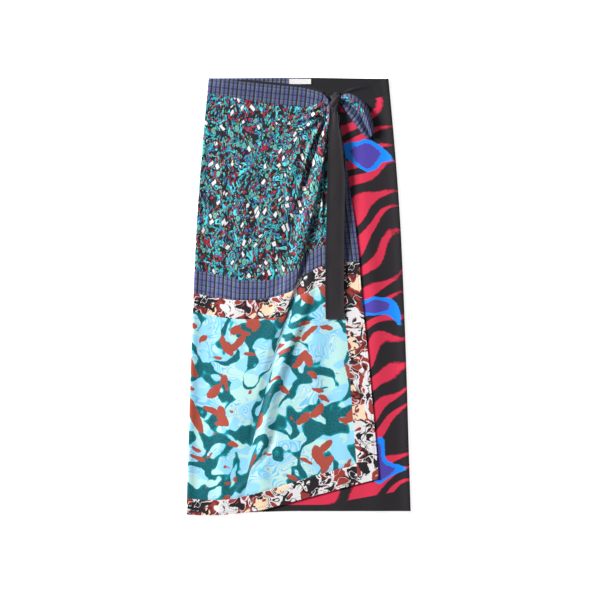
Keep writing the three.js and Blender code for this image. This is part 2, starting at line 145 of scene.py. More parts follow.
# %% [markdown]
# ## Small folds
# Besides the long folds, the cloth has short ones that run out from the knot, soft ones across the lower
# panel, and a few that press through where a layer lies under it. Each is a path with a half width and a
# height at every point of it, and a trough has a height below nought. The ripples of the underlap run down
# it, each at one distance from the side fold.

# %% Small folds of the wrap and waves of the underlap
SMALL_FOLDS = [
    {"x": [55, 23, -5, -30], "v": [53, 65, 67, 66], "half": [3.5, 5, 7, 8], "rise": [1.5, 3.4, 2.4, 0]},
    {"x": [55, 27, 3, -21], "v": [65, 79, 85, 89], "half": [3.5, 5, 7, 8], "rise": [1.5, 4, 3, 0]},
    {"x": [49, 23, 3, -17], "v": [79, 95, 105, 111], "half": [3.5, 5, 7, 8], "rise": [1.5, 4, 2.6, 0]},
    {"x": [52, 32, 16, -2, -14], "v": [80, 115, 165, 232, 280], "half": [3, 5, 6, 7, 8],
     "rise": [2, 5.6, 5.4, 3.2, 0]},
    {"x": [58, 42, 27.5, 10.5], "v": [84, 115, 165, 225], "half": [3, 4, 4.4, 5],
     "rise": [-2, -3.4, -3.4, 0]},
    {"x": [30, 8, -12, -30], "v": [104, 134, 176, 232], "half": [6, 8, 10, 12], "rise": [0, 2.2, 1.8, 0]},
    {"x": [2, -30, -62, -90], "v": [74, 96, 112, 120], "half": [5, 9, 12, 14], "rise": [0.6, 1.6, 1.2, 0]},
    {"x": [58, 50, 36, 22], "v": [150, 210, 270, 330], "half": [3, 3, 3, 3], "rise": [0, -1.0, -1.2, 0]},
    {"x": [50, 48, 46.5, 45], "v": [150, 220, 280, 330], "half": [3.5, 4, 4, 4], "rise": [0, 3.6, 3.2, 0]},
    {"x": [-49, -48, -66, -82, -96], "v": [690, 718, 758, 778, 806], "half": [7, 7, 8, 8, 8],
     "rise": [0, -1.4, -2, -1.2, 0]},
    {"x": [-86, -93, -100], "v": [672, 705, 740], "half": [5, 6, 6], "rise": [0, -1.2, 0]},
    {"x": [-96, -117, -128], "v": [800, 821, 846], "half": [7, 8, 9], "rise": [0, 1.8, 0.4]},
    {"x": [20, 34, 48, 60], "v": [520, 600, 690, 770], "half": [16, 18, 18, 14], "rise": [0, 1.6, 1.8, 0]},
    {"x": [-150, -158, -150, -160], "v": [150, 240, 330, 380], "half": [12, 14, 12, 10],
     "rise": [0, 1.2, 1.4, 0]},
    {"x": [-176, -170, -180], "v": [520, 620, 720], "half": [12, 14, 12], "rise": [0, 1.2, 0]},
    {"x": [-100, -106, -96, -110], "v": [250, 320, 350, 388], "half": [14, 12, 12, 10],
     "rise": [0, 1.0, 1.2, 0]},
]
UNDERLAP_FOLDS = [
    {"x": [90, 104, 124, 150], "v": [33, 25, 19, 15], "half": [3, 4, 5.5, 7], "rise": [0, 1.8, 1.2, 0]},
    {"x": [88, 98, 112], "v": [26, 18, 12], "half": [2.5, 3.5, 5], "rise": [0, 1.4, 0]},
    {"x": [152, 162, 172], "v": [14, 30, 60], "half": [4, 5, 6], "rise": [0, 1.0, 0]},
]
WAVES_UNDER_ALL = [
    {"x": [-90, -110, -120, -140], "v": [120, 260, 420, 560], "half": [16, 20, 22, 18],
     "rise": [0, 1.3, 1.1, 0]},
    {"x": [60, 40, 10], "v": [300, 500, 700], "half": [18, 24, 20], "rise": [0, 1.4, 0]},
    {"x": [125, 150, 160], "v": [170, 430, 640], "half": [12, 18, 16], "rise": [0, 1.5, 0]},
    {"x": [-150, -120, -60], "v": [640, 720, 800], "half": [14, 18, 16], "rise": [0, 1.2, 0]},
    {"x": [100, 130, 120], "v": [640, 750, 840], "half": [14, 16, 14], "rise": [0, 1.3, 0]},
    {"x": [-20, -10, -30], "v": [90, 200, 330], "half": [16, 18, 16], "rise": [0, 1.1, 0]},
]
RIPPLES = [
    {"inset": 62, "half": 34, "rise": 1.4},
    {"inset": 128, "half": 30, "rise": 0.9},
]
fold_count = len(SMALL_FOLDS) + len(UNDERLAP_FOLDS)
print(fold_count, "small folds, and", len(WAVES_UNDER_ALL), "waves under all the layers")

# %% [markdown]
# ## Curves
# Every line of the skirt is a smooth curve through the few points of a table, and it never overshoots them.
# Three small helpers do the rest: one mixes two values, one starts and ends softly, and one makes a fold's
# round cross-section.

# %% Curves through a table's points
def smooth(knots, values, x):
    """The curve through the points, at x: the knots may differ from place to place."""
    x = np.asarray(x, float)
    knots = np.array([np.broadcast_to(knot, x.shape) for knot in knots], float)
    values = np.array([np.broadcast_to(value, x.shape) for value in values], float)
    gap = np.diff(knots, axis=0)
    chord = np.diff(values, axis=0) / gap
    before, after = chord[:-1], chord[1:]
    same_way = before * after > 0
    slope = np.empty_like(values)
    slope[0], slope[-1] = chord[0], chord[-1]
    slope[1:-1] = np.where(same_way, 2 * before * after / np.where(same_way, before + after, 1), 0)
    i = np.clip((x[None] >= knots).sum(axis=0) - 1, 0, len(knots) - 2)[None]
    left, width, value, tilt = (np.take_along_axis(rows, i, 0)[0] for rows in (knots, gap, values, slope))
    next_value, next_tilt = (np.take_along_axis(rows, i + 1, 0)[0] for rows in (values, slope))
    t = np.clip((x - left) / width, 0, 1)
    return (
        value * (1 + 2 * t) * (1 - t) ** 2
        + tilt * width * t * (1 - t) ** 2
        + next_value * t * t * (3 - 2 * t)
        - next_tilt * width * t * t * (1 - t)
    )


# %% Mixing, easing and bumps
def mix(a, b, t):
    return a + (b - a) * t


def ease(t):
    """From 0 to 1 as t does, soft at both ends."""
    t = np.clip(t, 0, 1)
    return t * t * (3 - 2 * t)


def bump(distance, half):
    """1 on the line, about a sixth at the half width, and soft all the way."""
    return np.exp(-1.8 * (distance / half) ** 2)


print("a fold keeps", round(float(bump(1, 1)), 2), "of its height at its half width")

# %% [markdown]
# ## Heights of the two layers
# The underlap lies on the back, and the wrap on the underlap. Past the underlap's inner edge the wrap comes
# down onto the back. At the side folds both stand as high as the fold. A small fold's height at a place
# depends on the distance to the nearest point of its path.

# %% A small fold's height
def small_fold(fold, x, v):
    best, at = np.full(x.shape, np.inf), np.zeros(x.shape)
    for i in range(len(fold["x"]) - 1):
        x0, v0 = fold["x"][i], fold["v"][i]
        dx, dv = fold["x"][i + 1] - x0, fold["v"][i + 1] - v0
        t = np.clip(((x - x0) * dx + (v - v0) * dv) / (dx * dx + dv * dv), 0, 1)
        away = np.hypot(x - x0 - t * dx, v - v0 - t * dv)
        at = np.where(away < best, i + t, at)
        best = np.minimum(away, best)
    steps = range(len(fold["x"]))
    return np.interp(at, steps, fold["rise"]) * bump(best, np.interp(at, steps, fold["half"]))


# %% Heights of the underlap and the wrap
KNOT_SIDE = 84  # the underlap's creases start at the knot's right side, over the next few millimetres
CREASE_EASE = 8
RIPPLE_EASE = 80  # the underlap's ripples grow over this stretch below its waistband
HALF_WAY_RISE = 0.4  # the half-way line rises this share of the middle line's rise


def half_width(v):
    return smooth(OUTLINE["v"], OUTLINE["half"], v)


def fold_centre(v):
    return half_width(v) - FOLD_RADIUS - CLOTH / 2


def side_rise(x, v):
    return (FOLD_TOP - FRONT_Z) * bump(fold_centre(v) - abs(x), SIDE_ROLL)


def underlap_z(x, v):
    inset = fold_centre(v) - x
    waves = sum(wave["rise"] * bump(inset - wave["inset"], wave["half"]) for wave in RIPPLES)
    creases = sum(small_fold(fold, x, v) for fold in UNDERLAP_FOLDS) * ease((x - KNOT_SIDE) / CREASE_EASE)
    return FRONT_Z + side_rise(np.maximum(x, 0), v) + waves * ease((v - BACK_BAND) / RIPPLE_EASE) + creases


def section(v):
    """Where the fold lines cross the wrap at v, the side fold and the half-way line first."""
    x = [smooth(FOLD_V, FOLD_X[:, k], v) for k in range(len(LINES))]
    rise = [smooth(FOLD_V, FOLD_RISE[:, k], v) for k in range(len(LINES))]
    side = -fold_centre(v)
    return [side, mix(side, x[0], 0.5), *x], [0 * v, rise[0] * HALF_WAY_RISE, *rise]


def wrap_z(x, v):
    on_underlap = ease((x - UNDERLAP_END + UNDERLAP_EASE) / (UNDERLAP_EASE - UNDERLAP_CLEAR))
    lain = mix(FRONT_Z, underlap_z(x, v) + CLOTH + GAP, on_underlap)
    at, rise = section(v)
    folds = smooth(at, rise, x)
    folds = np.maximum(folds + sum(small_fold(fold, x, v) for fold in SMALL_FOLDS), 0)
    return lain + side_rise(np.minimum(x, 0), v) + folds


middle_z = float(wrap_z(np.array(0.0), np.array(BACK_LENGTH / 2)))
print("half-way down, the middle of the wrap lies", round(middle_z, 1), "mm up")

# %% [markdown]
# ## The two half wraps as sheets
# Each half is one sheet from the centre back, round its side fold, to its free edge at the front. The
# number u runs across it, from -2 at the centre back through -1 and 0 at the two sides of the fold, and the
# number seam runs down it, from one seam to the next.

# %% Points of the back and the side folds
def place(x, v, z):
    """A point of the skirt: all its layers ride together on a few soft waves off the table."""
    waves = sum(small_fold(fold, x, v + 0 * x) for fold in WAVES_UNDER_ALL)
    return np.stack([x, WAIST_Y - v, z + waves], axis=-1)


def back_and_fold(u, v, side):
    """The part of a half that lies at the back, and the half circle of its side fold."""
    centre = fold_centre(v)
    angle = np.clip(-u, 0, 1) * np.pi
    flat = mix(side * centre, CENTRE_BACK, np.clip(-u - 1, 0, 1))
    turned = side * (centre + FOLD_RADIUS * np.sin(angle))
    x = np.where(u < -1, flat, turned)
    z = np.where(u < -1, BACK_Z, BACK_Z + FOLD_RADIUS * (1 + np.cos(angle)))
    return place(x, v, z)


# %% Points of the wrap half
def between_seams(values, seam):
    """One value for each seam is given, and this is the value between two of them."""
    row = np.clip(np.floor(seam), 0, len(values) - 2).astype(int)
    values = np.array(values)
    top = np.take_along_axis(values, row[None], 0)[0]
    foot = np.take_along_axis(values, row[None] + 1, 0)[0]
    return mix(top, foot, seam - row)


def wrap_point(u, seam):
    inner = np.clip(u, 0, EDGE)
    side = between_seams([np.full(u.shape, row[0]) for row in SEAM_V], seam)
    middle = between_seams([np.full(u.shape, v) for v in SEAM_BACK], seam)
    behind = back_and_fold(u, mix(side, middle, ease(-u - 1)), -1)
    v = between_seams([smooth(SEAM_COLUMNS, row, inner) for row in SEAM_V], seam)
    x = smooth(SEAM_COLUMNS, section(v)[0], inner)
    stand = WAIST_STANDS * ease(1 - seam) * ease(4 * u) * ease((FOOT - u) / 3)
    return np.where((u < 0)[..., None], behind, place(x, v, wrap_z(x, v) + stand))


# %% Points of the underlap half
# The underlap's top edge and the seam of its waistband dip towards the knot: x, and v of each at that x.
UNDERLAP_X = [-149, -17, 43, 73, 93, 133, 180]
UNDERLAP_TOP = [40, 38, 34, 31.5, 25, 14.6, 2]
UNDERLAP_SEAM = [66, 66, 66, 57, 53, 45, BACK_BAND]


def underlap_point(u, seam):
    def v_at(top, waist_seam):
        return np.where(seam < 1, mix(top, waist_seam, seam), mix(waist_seam, BACK_LENGTH, seam - 1))

    behind = mix(v_at(UNDERLAP_TOP[-1], BACK_BAND), v_at(0, BACK_BAND), ease(-u - 1))
    across = mix(fold_centre(np.full(u.shape, BACK_BAND)), UNDERLAP_END, np.clip(u, 0, 1))
    v = v_at(smooth(UNDERLAP_X, UNDERLAP_TOP, across), smooth(UNDERLAP_X, UNDERLAP_SEAM, across))
    x = mix(fold_centre(v), UNDERLAP_END, np.clip(u, 0, 1))
    return np.where((u <= 0)[..., None], back_and_fold(u, behind, 1), place(x, v, underlap_z(x, v)))


# %% [markdown]
# ## From a sheet to a piece of cloth
# A piece is its sheet moved out and in by half the cloth's thickness, closed by a rim all round. Each point
# also keeps its place on the flat cut, found by measuring along the cloth, so a print bends with the folds
# as it does on real cloth. Where a piece is sewn to its neighbour, the cloth dips a little into the seam.

# %% Measure a sheet
def measured(points, axis):
    """Distance along the cloth, in metres, from the first row or column."""
    length = np.linalg.norm(np.diff(points, axis=axis), axis=-1) * MM
    start = np.zeros_like(np.take(points[..., 0], [0], axis))
    return np.concatenate([start, np.cumsum(length, axis)], axis)


def unit(vectors):
    return vectors / np.linalg.norm(vectors, axis=-1, keepdims=True)


def normals(points):
    """The way out of the cloth at each point of a grid."""
    across, down = np.gradient(points, axis=0), np.gradient(points, axis=1)
    normal = np.cross(down, across)
    return normal / np.maximum(np.linalg.norm(normal, axis=-1, keepdims=True), 1e-9)


def sheet_area(points):
    """Square metres of a grid: its points' mean share times its faces, which are fewer than its points."""
    share = np.linalg.norm(np.cross(np.gradient(points, axis=0), np.gradient(points, axis=1)), axis=-1)
    columns, rows = share.shape
    return float(share.sum() * MM * MM) * (columns - 1) * (rows - 1) / (columns * rows)


# %% Add a mesh to the skirt
def faces_out(points, faces):
    """True where the faces look outwards: the volume that they span then comes out above nought."""
    corners = points[faces[:, :3]]
    return np.einsum("ij,ij->i", corners[:, 0], np.cross(corners[:, 1], corners[:, 2])).sum() > 0


def add_mesh(name, points, faces, cut, finish, where=None):
    """A named mesh with its flat-cut map: it rides with the skirt and stands for its solid."""
    mesh = bpy.data.meshes.new(name)
    mesh.from_pydata((points * MM).tolist(), [], faces)
    corners = [i for face in faces for i in face]
    layer = mesh.uv_layers.new(name="cut")
    layer.data.foreach_set("uv", cut[corners].astype(np.float32).ravel())
    mesh.materials.append(finish)
    piece = bpy.data.objects.new(name, mesh)
    bpy.context.scene.collection.objects.link(piece)
    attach(piece, "root")
    if where:
        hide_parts(where)
    return piece


# %% Make a piece of cloth
SEAM_DIP, SEAM_REACH = 0.45, 1.6  # how deep the cloth dips at a seam, and how far from it
RIM_ANGLE = 50  # in degrees: an edge sharper than this, such as the rim, isn't smoothed
FULLEST_CUT = 0.999  # no piece fills more of the rectangle that it is cut from


def closed(outer, inner):
    """Two grids that face each other, with the rim that closes them: their points and faces."""
    columns, rows = outer.shape[:2]
    count = columns * rows
    grid = np.arange(count).reshape(columns, rows)
    a, b, c, d = (corner.ravel() for corner in (grid[:-1, :-1], grid[:-1, 1:], grid[1:, 1:], grid[1:, :-1]))
    ring = np.concatenate([grid[:, 0], grid[-1, 1:], grid[-2::-1, -1], grid[0, -2::-1]])
    front = np.stack([a, b, c, d], 1)
    behind = np.stack([a, d, c, b], 1) + count
    rim = np.stack([ring[:-1], ring[1:], ring[1:] + count, ring[:-1] + count], 1)
    return np.concatenate([outer.reshape(-1, 3), inner.reshape(-1, 3)]), np.concatenate([front, behind, rim])


def cloth(name, points, finish, where=None, thick=SHEET, cut_from=0, sewn=()):
    """points is a grid of the cloth's middle: columns first, then down each column."""
    cut = np.stack([measured(points, 0), measured(points, 1)], axis=-1)
    cut[..., 0] -= cut[cut_from : cut_from + 1, :, 0]
    toward = {"top": cut[..., 1], "foot": cut[:, -1:, 1] - cut[..., 1]}
    dip = np.zeros(points.shape[:2])
    for edge in sewn:
        dip += SEAM_DIP * np.exp(-((toward[edge] / MM / SEAM_REACH) ** 2))
    way_out, half = normals(points), thick / 2
    both_sides, faces = closed(points + way_out * (half - dip)[..., None], points - way_out * half)
    both_sides[:, 2] = np.maximum(both_sides[:, 2], 0)
    faces = faces[:, :: 1 if faces_out(both_sides, faces) else -1].tolist()
    piece = add_mesh(name, both_sides, faces, np.tile(cut.reshape(-1, 2), (2, 1)), finish, where)
    piece.data.shade_smooth()
    piece.data.set_sharp_from_angle(angle=np.radians(RIM_ANGLE))
    width, length = float(np.ptp(cut[..., 0], axis=0).max()), float(np.ptp(cut[..., 1], axis=1).max())
    area = min(sheet_area(points), FULLEST_CUT * width * length)
    print(f"{name}: cut {width * 1000:.0f} by {length * 1000:.0f} mm, {area:.4f} square metres")
    return piece, (width, length), area


# %% [markdown]
# ## Inks and dyes
# Printed cloth is one colour from edge to edge only on paper. Here a pattern is laid in the cut's own
# metres, so its size is that of a real print. Each dye's colour is a six-figure code, and a helper gathers
# the shader nodes that the patterns need, so that a print reads as a short list of steps.

# %% Inks
# lit_ribbon_black is a black lightened as painted light, for the tie's end.
INKS = {
    "night": "1c1b1f", "charcoal": "22222c", "black_ink": "232024", "lit_ribbon_black": "292629",
    "soot": "343135", "chalk": "dedbdd", "violet": "525989", "lilac": "656c9e", "navy": "2a2d58",
    "moss": "80987e", "turquoise": "2cb2be", "bright_turquoise": "4cd2e0", "deep_teal": "167c88",
    "steel_blue": "3c74b4", "crimson": "a82844", "sage": "78a88c", "aqua": "92d4f0",
    "mint": "b6e2de", "sky": "62bae6", "teal": "007c84", "dark_teal": "0c3c4a", "rust": "a84a3c",
    "rust_red": "943630", "maroon": "642026", "cream": "ecd0b0", "red": "d22e4c",
    "deep_red": "9a1c36", "azure": "1084f4", "purple": "4e40a2", "dark_thread": "22212a",
    "rust_thread": "6e302e",
}


def ink(name):
    """A dye's colour from its six-figure code, as light."""
    code = INKS[name]
    parts = [int(code[i : i + 2], 16) / 255 for i in (0, 2, 4)]
    return [*(c / 12.92 if c <= 0.04045 else ((c + 0.055) / 1.055) ** 2.4 for c in parts), 1.0]


print(len(INKS), "inks")


# %% A helper that adds shader nodes
class Nodes:
    """A finish in the making: each method adds shader nodes and gives back what they work out."""

    def __init__(self, name):
        self.material = bpy.data.materials.new(name)
        self.material.use_nodes = True
        self.tree = self.material.node_tree
        self.tree.nodes.clear()
        self.cut = self.node("ShaderNodeUVMap", uv_map="cut").outputs["UV"]
        parts = self.node("ShaderNodeSeparateXYZ", {0: self.cut})
        self.across, self.down = parts.outputs[0], parts.outputs[1]

    def node(self, kind, inputs=None, **settings):
        made = self.tree.nodes.new(kind)
        for key, value in settings.items():
            setattr(made, key, value)
        for key, value in (inputs or {}).items():
            if isinstance(value, bpy.types.NodeSocket):
                self.tree.links.new(value, made.inputs[key])
            else:
                made.inputs[key].default_value = value
        return made

    def calc(self, operation, *values):
        return self.node("ShaderNodeMath", dict(enumerate(values)), operation=operation).outputs[0]

    def plus(self, first, second):
        return self.calc("ADD", first, second)

    def less(self, first, second):
        return self.calc("SUBTRACT", first, second)

    def times(self, first, second):
        return self.calc("MULTIPLY", first, second)

    def vector(self, operation, first, second):
        return self.node("ShaderNodeVectorMath", {0: first, 1: second}, operation=operation).outputs[0]

    def scaled(self, vector, amount):
        """A vector or a colour made larger or brighter by one number."""
        return self.node("ShaderNodeVectorMath", {0: vector, "Scale": amount}, operation="SCALE").outputs[0]


# %% [markdown]
# ## Places and patterns
# A pattern starts from the place on the cut. Stretched, turned or moved about by a noise, that place gives
# other patterns from the same node, and a pattern drawn on a place that wanders looks drawn by hand. A step
# then turns a soft value into a shape with an edge.

# %% A helper for places, noises, cells and lines
class Patterns(Nodes):
    def stretch(self, at, x=1.0, y=1.0, shift=0.0):
        """The place, shifted and then stretched, so that the same noise gives another pattern."""
        return self.vector("MULTIPLY", self.vector("ADD", at, (shift, shift * 1.7, shift)), (x, y, 1))

    def turned(self, at, angle):
        """The place, turned about the cut's corner by an angle in radians."""
        inputs = {"Vector": at, "Angle": angle}
        return self.node("ShaderNodeVectorRotate", inputs, rotation_type="Z_AXIS").outputs[0]

    def wander(self, at, scale, amount):
        """The place, moved about by a soft noise, so that a pattern's edges look drawn by hand."""
        noise = self.node("ShaderNodeTexNoise", {"Vector": at, "Scale": scale, "Detail": 2.0}).outputs[1]
        return self.vector("ADD", at, self.scaled(self.vector("SUBTRACT", noise, (0.5, 0.5, 0.5)), amount))

    def noise(self, at, scale, detail=2.0, distortion=0.0):
        inputs = {"Vector": at, "Scale": scale, "Detail": detail, "Distortion": distortion}
        return self.node("ShaderNodeTexNoise", inputs).outputs[0]

    def cells(self, at, density, feature="F1", distance="EUCLIDEAN"):
        """A pattern of cells, as many to the metre as density says."""
        inputs = {"Vector": at, "Scale": density}
        return self.node("ShaderNodeTexVoronoi", inputs, feature=feature, distance=distance)

    def tone(self, cells, channel=0):
        """One number for each whole cell: the random colour that it carries has three of them."""
        return self.node("ShaderNodeSeparateColor", {0: cells.outputs["Color"]}).outputs[channel]

    def step(self, value, low, high):
        """0 where the value is low, 1 where it is high, and soft between."""
        inputs = {0: value, 1: low, 2: high, 3: 0.0, 4: 1.0}
        return self.node("ShaderNodeMapRange", inputs, interpolation_type="SMOOTHSTEP").outputs[0]

    def line(self, along, pitch, shift, half, soft):
        """1 on lines of that half width, a pitch apart, and 0 between them."""
        turns = self.calc("DIVIDE", self.plus(along, shift), pitch)
        centred = self.calc("ABSOLUTE", self.less(self.calc("FRACT", turns), 0.5))
        return self.less(1.0, self.step(self.times(centred, pitch), half, half + soft))


# %% A helper that lays and picks colours
class Dye(Patterns):
    def lay(self, base, colour, amount):
        """Lays a colour over another, as much as amount says."""
        return self.node("ShaderNodeMix", {0: amount, 6: base, 7: colour}, data_type="RGBA").outputs[2]

    def ramp(self, value, stops):
        """Picks a colour by a value from 0 to 1: each stop holds until the next one starts."""
        made = self.node("ShaderNodeValToRGB", {0: value})
        made.color_ramp.interpolation = "CONSTANT"
        elements = made.color_ramp.elements
        while len(elements) < len(stops):
            elements.new(0.5)
        for element, (position, colour) in zip(elements, stops):
            element.position = position
            element.color = colour
        return made.outputs[0]


# %% [markdown]
# ## Weave
# Under any print, cloth is yarns. Two stretched noises make them uneven, one along the cut and one across
# it, so the colour is a little darker and lighter from yarn to yarn. Fine slanting ribs give a low bump, and
# the surface is fairly dull, with a trace of sheen.

# %% Turn a pattern into woven cloth
YARN_FINE, YARN_LONG, GRAIN = 900, 130, 620  # how fine the noises are, in turns to the metre
WEFT_SHIFT = 3.1
RELIEF = 0.0003


def weave(dye, colour, heather=0.16, rough=0.62, sheen=0.05, twill=0.0011):
    """heather is how uneven the yarns' colour is, and twill the ribs' pitch in metres."""
    warp = dye.noise(dye.stretch(dye.cut, YARN_FINE, YARN_LONG), 1.0, 1.0)
    weft = dye.noise(dye.stretch(dye.cut, YARN_LONG, YARN_FINE, WEFT_SHIFT), 1.0, 1.0)
    grain = dye.noise(dye.cut, GRAIN, 2.0)
    yarns = dye.plus(dye.plus(warp, weft), grain)
    tinted = dye.scaled(colour, dye.plus(1.0 - heather * 1.5, dye.times(yarns, heather)))
    ribs = dye.line(dye.plus(dye.across, dye.down), twill, 0.0, twill * 0.12, twill * 0.3)
    height = dye.plus(dye.times(ribs, 0.5), dye.times(yarns, 0.5))
    bumps = dye.node("ShaderNodeBump", {"Height": height, "Strength": 0.35, "Distance": RELIEF}).outputs[0]
    dullness = dye.plus(rough - 0.08, dye.times(yarns, 0.06))
    inputs = {"Base Color": tinted, "Roughness": dullness, "Normal": bumps}
    cloth_shader = dye.node("ShaderNodeBsdfPrincipled", inputs)
    cloth_shader.inputs["Sheen Weight"].default_value = sheen
    cloth_shader.inputs["Sheen Roughness"].default_value = 0.5
    cloth_shader.inputs["Specular IOR Level"].default_value = 0.22
    dye.node("ShaderNodeOutputMaterial", {"Surface": cloth_shader.outputs[0]})
    print(f"{dye.material.name}: {len(dye.tree.nodes)} nodes")
    return dye.material


# %% [markdown]
# ## The checked cloth
# A blue-violet check. Broad charcoal stripes run down it with a faint moss line beside each, and a narrower
# charcoal stripe lies half-way to the next. Navy lines and fainter moss ones run across. It is woven, so its
# lines are soft and follow the cloth exactly. On the waistband, the band down the free edge and the bow's
# loop, black is laid over the check as painted shade, so they are darker than the band between the panels.

# %% Checked cloth
STRIPES = 0.0172  # metres from one broad stripe to the next
ROWS = 0.011  # and from one line across to the next


def checked_cloth(name, painted_shade):
    """painted_shade is how much black is laid over the check as painted shade."""
    dye = Dye(name)
    colour = dye.lay(ink("violet"), ink("lilac"), dye.noise(dye.cut, 60, 3.0))
    lines = [
        # direction, pitch, shift, half width, softness, ink, strength
        (dye.down, ROWS, 0.0, 0.0008, 0.0010, "navy", 0.7),
        (dye.down, 2 * ROWS, 0.004, 0.0005, 0.0010, "moss", 0.4),
        (dye.across, STRIPES, STRIPES / 2, 0.0009, 0.0010, "charcoal", 0.8),
        (dye.across, STRIPES, -0.0027, 0.0004, 0.0008, "moss", 0.5),
        (dye.across, STRIPES, 0.0, 0.0014, 0.0009, "charcoal", 0.92),
    ]
    for along, pitch, shift, half, soft, yarn, strength in lines:
        amount = dye.times(dye.line(along, pitch, shift, half, soft), strength)
        colour = dye.lay(colour, ink(yarn), amount)
    return weave(dye, dye.lay(colour, ink("night"), painted_shade))


CHECK = checked_cloth("checked_cloth", 0.0)
# The same check with black laid over it as painted shade, for the waistband, the free edge's band and the
# bow's loop.
SHADED_CHECK = checked_cloth("painted_shade_checked_cloth", 0.2)


# %% [markdown]
# ## Shapes that several prints share
# A cell pattern gives scattered spots: each cell has a colour of its own, which picks the cells that carry a
# spot, and the distance to the cell's middle gives the spot's edge. A noise cut at one height gives a winding
# branch, and where the cut's width follows a second noise, the branch swells and tapers out.

# %% Spots and branches
def spots(dye, at, density, share, reach, soft=0.03, square=False, channel=0):
    """1 inside the spots of a share of the cells; reach is a spot's radius in cells."""
    found = dye.cells(at, density, distance="CHEBYCHEV" if square else "EUCLIDEAN")
    chosen = dye.step(dye.tone(found, channel), 1.0 - share, 1.005 - share)
    inside = dye.less(1.0, dye.step(found.outputs[0], reach, reach + soft))
    return dye.times(chosen, inside)


def branches(dye, value, centre, reach, soft):
    """1 where the value lies within reach of the centre; reach may be a pattern too."""
    away = dye.calc("ABSOLUTE", dye.less(value, centre))
    return dye.less(1.0, dye.step(dye.less(away, reach), 0.0, soft))


# %% [markdown]
# ## The upper panel's print
# Small pebbles in turquoise, steel blue, crimson and sage, set close in a dark ground that flows about them.
# Thin strokes wind between them, and larger ringed ovals and pale chips lie among them, the chips turned two
# ways. It is a plain pebble mosaic in this skirt's colours.

# %% Pebble print
PEBBLES = 290  # to the metre
PEBBLE_SHARES = [
    ("night", 0.26), ("turquoise", 0.07), ("deep_teal", 0.06), ("steel_blue", 0.12), ("night", 0.1),
    ("crimson", 0.21), ("sage", 0.14), ("bright_turquoise", 0.04),
]
STROKES = [("night", 0.44, 0.018), ("turquoise", 0.44, 0.009), ("bright_turquoise", 0.5, 0.011)]
OVAL_RINGS = [("night", 0.29), ("turquoise", 0.25), ("sage", 0.21), ("deep_teal", 0.12), ("sage", 0.07)]
CHIP_RINGS = [("night", 0.21), ("chalk", 0.145)]


def pebbles(dye, at):
    stops, start = [], 0.0
    for name, share in PEBBLE_SHARES:
        stops.append((start, ink(name)))
        start += share
    tone = dye.tone(dye.cells(at, PEBBLES))
    joints = dye.cells(at, PEBBLES, "DISTANCE_TO_EDGE").outputs[0]
    return dye.lay(ink("night"), dye.ramp(tone, stops), dye.step(joints, 0.05, 0.13))


def pebble_print():
    dye = Dye("pebble_print")
    at = dye.wander(dye.stretch(dye.wander(dye.cut, 24, 0.034), y=0.55), 150, 0.003)
    colour = pebbles(dye, at)
    winding = dye.noise(at, 52, 1.0, 0.8)
    broken = dye.step(dye.noise(dye.stretch(at, shift=2.9), 70, 1.0), 0.46, 0.49)
    for name, centre, reach in STROKES:
        colour = dye.lay(colour, ink(name), dye.times(branches(dye, winding, centre, reach, 0.006), broken))
    calm = dye.stretch(dye.wander(dye.cut, 19, 0.024), y=0.6)
    ovals = dye.stretch(calm, shift=2.3)
    for name, reach in OVAL_RINGS:
        colour = dye.lay(colour, ink(name), spots(dye, ovals, 62, 0.5, reach))
    loose = dye.wander(calm, 60, 0.006)
    for angle, shift in ((0.7, 5.9), (-0.9, 8.3)):
        chips = dye.stretch(dye.turned(loose, angle), y=0.66, shift=shift)
        for name, reach in CHIP_RINGS:
            amount = spots(dye, chips, 66, 0.58, reach, 0.02, square=True, channel=2)
            colour = dye.lay(colour, ink(name), amount)
    return weave(dye, colour)


PEBBLE = pebble_print()


# %% [markdown]
# ## The lower panel's print
# Pale aqua and mint run into each other like wet dye, with fine rings in places where one met the other.
# Over them lie teal branches with bright rims and dark hearts, and rust patches at several slants and sizes,
# as a broad brush leaves them.

# %% Wash print
WASH_RINGS = [("sky", 0.5, 0.85), ("chalk", 0.85, 0.4)]
# Each row of patches: its slant in radians, patches to the metre, a patch's radius in cells, and a shift.
PATCHES = [(0.3, 17, 0.22, 9.1), (0.5, 27, 0.3, 7.7), (-0.75, 34, 0.28, 3.3), (1.3, 48, 0.26, 5.1)]


def wet_ground(dye):
    swirl = dye.noise(dye.stretch(dye.cut, y=1.3), 15, 1.0, 1.4)
    colour = dye.lay(ink("aqua"), ink("mint"), dye.step(swirl, 0.47, 0.52))
    rings = dye.calc("FRACT", dye.times(swirl, 16.0))
    ringed = dye.step(dye.noise(dye.stretch(dye.cut, shift=3.9), 16, 1.0), 0.46, 0.54)
    for name, centre, strength in WASH_RINGS:
        ring = dye.times(branches(dye, rings, centre, 0.08, 0.14), strength)
        colour = dye.lay(colour, ink(name), dye.times(ring, ringed))
    return colour


